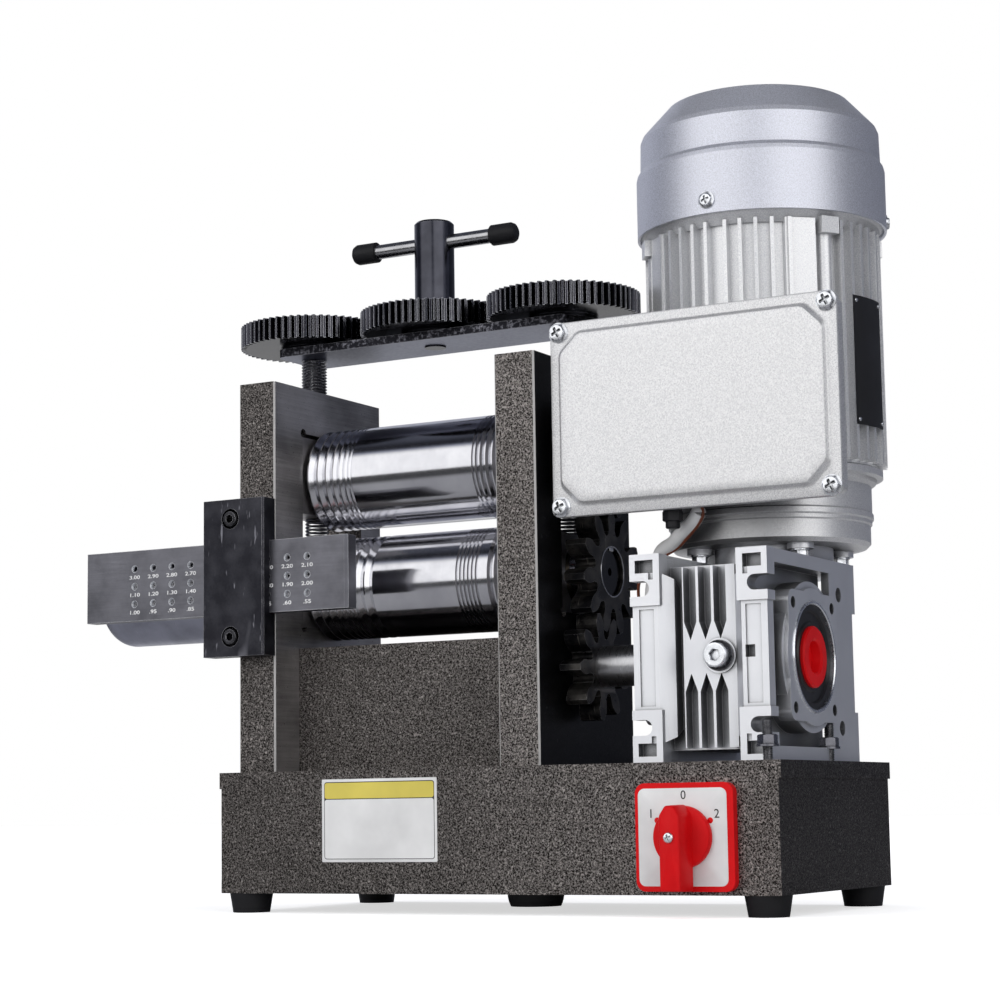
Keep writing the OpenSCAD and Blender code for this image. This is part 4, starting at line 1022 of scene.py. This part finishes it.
class MILL_OT_labels(bpy.types.Operator):
    """Sticks the blank label on the base's front and the bare plate on the motor"""
    bl_idname = "mill.labels"
    bl_label = "Blank labels"

    def execute(self, context):
        middle = np.array([-71.8, BASE.lo[1], 56])
        w, h = 81.6, 50
        print_layers = [(0, 0.1), (0, 0.27)]
        # (name, finish, width, height, corner radius, rise of the middle, layers)
        for name, finish, wide, high, r, rise, layers in (
                ("label", "panel_white", w, h, 0.8, 0, [(0, -0.1), (0, 0.15), (0.1, 0.2)]),
                ("label_line", "panel_ink", w - 3.4, h - 3.4, 1.8, 0, [(0, 0.1), (0, 0.22)]),
                ("label_field", "panel_white", w - 4.2, h - 14.4, 1.5, -5.1, print_layers),
                ("label_band", "label_yellow", w - 4.2, 9.6, 1.5, 18, print_layers)):
            piece(name, placed(round_plate(wide, high, r, layers), middle + rise * Z, up=-Y), finish)
        # a foil plate bent round the motor's fins, on its right side
        axis = np.array([GEAR_X, MOTOR_Y, 0])
        angles = np.radians(np.linspace(-21, 4, 13))
        depths = np.array([0.1, 0.8, 0.8, 0.1]) + MOTOR.size[0] / 2 - 2.9
        plate = rings_of(depths, [285, 285, 363, 363], angles)
        piece("nameplate", placed(grid(plate, round_v=False), axis), "panel_ink")
        rivets = []
        for out in (in_circle(angles[1]), in_circle(angles[-2])):
            foot = axis + out * (depths[1] - 0.1)
            rivets.append(copies(disc(1.2, 0.9, 0.4, 0.4, 20), [foot + z * Z for z in (288, 360)], up=out))
        piece("nameplate_rivets", join(*rivets), "zinc_bolt")
        return {"FINISHED"}


# the motor's lead from the terminal box down to the base, as its solid runs
LEAD = [(123, -41, 233), (119, -40, 228), (110, -36, 222.5), (100, -28, 217.5), (89.5, -21, 214),
        (84, -17, 205), (79, -14, 190), (76, -7, 167), (76, 2, 142), (76, 9, 118), (76, 14, 102),
        (76, 14, 81)]

# a thin wire beside the lead's upper end, which goes down on its own behind the gearbox's lug
WIRE = [(126.5, -43.5, 237), (126.5, -42.5, 231), (122, -41.2, 225), (113.5, -37, 219), (103.5, -29.5, 214.3),
        (92, -24, 210.5), (80, -21.5, 204.5), (73.5, -20.5, 196), (72, -18, 184), (72, -12, 166),
        (72, 0, 138), (72, 8, 112), (72, 9, 81)]


def lay_cord(name, points, size, finish, stiffness, sides=16, **settings):
    """A hanging cord through the points, whose length is the curve's own."""
    path = smooth_path(points)
    cord = piece(name, tube(path, size / 2, sides), finish, **settings)


class MILL_OT_lead(bpy.types.Operator):
    """Lays the motor's sleeved lead and the thin brown wire between the terminal box and the base"""
    bl_idname = "mill.lead"
    bl_label = "Motor lead"

    def execute(self, context):
        size = sizes("cable_size")
        lay_cord("lead_sleeve", LEAD, size, "white_sleeve", "medium", replaces=["supply_cable"],
                 slot="cable_white", smooth=60)
        # half a ball closes the sleeve's upper end: (r sin t, -r cos t)
        half = [(size / 2 * math.sin(t), -size / 2 * math.cos(t)) for t in np.linspace(0.02, math.pi / 2, 8)]
        piece("lead_entry", placed(revolve(half), LEAD[0], up=-Z), "white_sleeve", smooth=60)
        lay_cord("lead_wire", WIRE, sizes("wire_size"), "brown_wire", "limp", sides=10)
        return {"FINISHED"}


# ---------------------------------------------------------------- stage

# what metal mirrors of the floor, near the machine and towards the horizon
GREY_NEAR, GREY_FAR = (0.46, 0.46, 0.47, 1), (0.03, 0.03, 0.032, 1)
WHITE = (1, 1, 1, 1)


class MILL_OT_stage(bpy.types.Operator):
    """Sets up the pale floor, the soft studio light and the camera"""
    bl_idname = "mill.stage"
    bl_label = "Studio"

    def execute(self, context):
        scene = context.scene
        scene.view_settings.view_transform = "Standard"
        self.floor(scene)
        self.world(scene)
        # soft lamps: (name, place, size, watts); metal mirrors the room instead of them
        lamps = (("front", (-0.9, -1.9, 0.9), 1.4, 11), ("top", (0.0, 0.1, 1.9), 1.6, 16))
        for name, place, size, watts in lamps:
            light = bpy.data.lights.new(name, "AREA")
            light.size = size
            light.energy = watts
            lamp = bpy.data.objects.new(name, light)
            scene.collection.objects.link(lamp)
            aim(lamp, np.array(place), np.array([0, 0, 0.22]))
            lamp.visible_camera = False
            lamp.visible_glossy = False
        camera = bpy.data.objects.new("camera", bpy.data.cameras.new("camera"))
        scene.collection.objects.link(camera)
        camera.data.sensor_width = 36
        camera.data.lens = 85.70
        eye = np.array([0.6978, -1.3151, 0.0613])
        aim(camera, eye, eye + np.array([-0.4819, 0.8667, 0.1289]), roll=math.radians(-0.84))
        scene.camera = camera
        return {"FINISHED"}

    def floor(self, scene):
        """A wide pale floor that looks white where no shadow falls on it, near the machine and far off.
        Metal mirrors it as a grey that darkens towards the horizon, with a white part behind the machine."""
        corners = np.array([[-X - Y, X - Y], [Y - X, X + Y]]) * 9000
        points, faces = grid(corners, round_v=False)
        mesh = bpy.data.meshes.new("floor")
        mesh.from_pydata((points * MM).tolist(), [], faces)
        f = Finish("floor_white", Roughness=0.8, Specular_IOR_Level=0.2, Emission_Color=WHITE)
        reach = f.node("ShaderNodeVectorMath", {0: f.place}, operation="LENGTH").outputs["Value"]
        ahead = f.node("ShaderNodeVectorMath", {0: f.place, 1: (-0.485, 0.875, 0)}, operation="DOT_PRODUCT")
        ahead = ahead.outputs["Value"]
        bearing = f.math("DIVIDE", ahead, reach)
        behind = f.times(f.ramp(ahead, 0.1, 0.4, soft=True), f.ramp(bearing, 0.70, 0.92, 0, 0.42, soft=True))
        mirrored = f.mix(f.ramp(reach, 0.8, 1.3, soft=True), GREY_NEAR, GREY_FAR)
        grain = f.mix(f.ramp(f.noise(3), 0.3, 0.7), (0.88, 0.88, 0.88, 1), (0.84, 0.84, 0.85, 1))
        seen, glossy = f.ray_kinds()
        white = f.times(seen, f.ramp(f.ramp(reach, 0.45, 1.1, soft=True), 0, 1, 0.62, 1.0))
        f.set(Base_Color=f.mix(glossy, grain, mirrored),
              Emission_Strength=f.plus(white, f.times(glossy, behind)))
        mesh.materials.append(f.material)
        floor = bpy.data.objects.new("floor", mesh)
        scene.collection.objects.link(floor)

    def world(self, scene):
        """A white surround, seen by the camera.  Metal mirrors a room with two tall soft boxes in front of
        the machine, left and right of the camera, and a weaker one behind it: a box's light depends on the
        direction's bearing, and fades over its upper edge; above it the room is dark, with a dim ceiling."""
        world = bpy.data.worlds.new("studio")
        world.use_nodes = True
        world.node_tree.nodes.clear()
        t = Tree(world.node_tree)
        direction = t.node("ShaderNodeTexCoord").outputs["Generated"]
        x, y, z = t.node("ShaderNodeSeparateXYZ", {0: direction}).outputs
        flat = t.math("SQRT", t.plus(t.times(x, x), t.times(y, y)))
        light = 0.125
        # (bearing of a box's middle, bearings from it where it is full and where it ends, strength)
        for bearing, full, end, strength in ((-109, 27, 42, 1.13), (-34, 22, 38, 1.36), (140, 20, 50, 0.36)):
            middle = in_circle(math.radians(bearing))
            along = t.plus(t.times(x, middle[0]), t.times(y, middle[1]))
            share = t.math("DIVIDE", along, t.plus(flat, 0.001))
            light = t.plus(light, t.ramp(share, math.cos(math.radians(end)), math.cos(math.radians(full)),
                                         0, strength, soft=True))
        light = t.times(light, t.ramp(z, 0.56, 0.72, 1, 0, soft=True))
        light = t.plus(light, t.ramp(z, 0.76, 0.86, 0.025, 0.105, soft=True))
        tone = t.mix(t.ramp(light, 0.2, 0.9), (0.80, 0.86, 1.10, 1), WHITE)
        room = t.node("ShaderNodeBackground", {"Color": tone, "Strength": light})
        white = t.node("ShaderNodeBackground", {"Color": WHITE, "Strength": 1.0})
        seen = t.ray_kinds()[0]
        both = t.node("ShaderNodeMixShader", {0: seen, 1: room.outputs[0], 2: white.outputs[0]})
        t.node("ShaderNodeOutputWorld", {"Surface": both.outputs[0]})
        scene.world = world


def aim(obj, place, target, roll=0.0):
    """Puts a lamp or camera at place, looking at target, and rolls it about its view."""
    look = Vector(target - place).to_track_quat("-Z", "Y").to_matrix().to_4x4()
    obj.matrix_world = Matrix.Translation(place) @ look @ Matrix.Rotation(roll, 4, "Z")


# ---------------------------------------------------------------- panel and registration

OPERATORS = (MILL_OT_stage, MILL_OT_finishes, MILL_OT_lead, MILL_OT_threads, MILL_OT_springs,
             MILL_OT_cover, MILL_OT_bolts, MILL_OT_gland, MILL_OT_fan, MILL_OT_shaft_details,
             MILL_OT_numerals, MILL_OT_switch, MILL_OT_labels)


class MILL_PT_panel(bpy.types.Panel):
    """Lists the mill's sizes, colours and steps."""
    bl_label = "Rolling Mill"
    bl_idname = "MILL_PT_panel"
    bl_space_type = "VIEW_3D"
    bl_region_type = "UI"
    bl_category = "Rolling Mill"

    def draw(self, context):
        for group in (context.scene.mill_sizes, context.scene.mill_colours):
            for key in group.__annotations__:
                self.layout.prop(group, key)
        for step in OPERATORS:
            self.layout.operator(step.bl_idname)


CLASSES = (MillSizes, MillColours, *OPERATORS, MILL_PT_panel)


def register():
    for cls in CLASSES:
        bpy.utils.register_class(cls)
    bpy.types.Scene.mill_sizes = PointerProperty(type=MillSizes)
    bpy.types.Scene.mill_colours = PointerProperty(type=MillColours)


def unregister():
    del bpy.types.Scene.mill_colours
    del bpy.types.Scene.mill_sizes
    for cls in reversed(CLASSES):
        bpy.utils.unregister_class(cls)


def main():
    register()
    for step in OPERATORS:
        group, name = step.bl_idname.split(".")
        getattr(getattr(bpy.ops, group), name)()


if __name__ == "__main__":
    main()
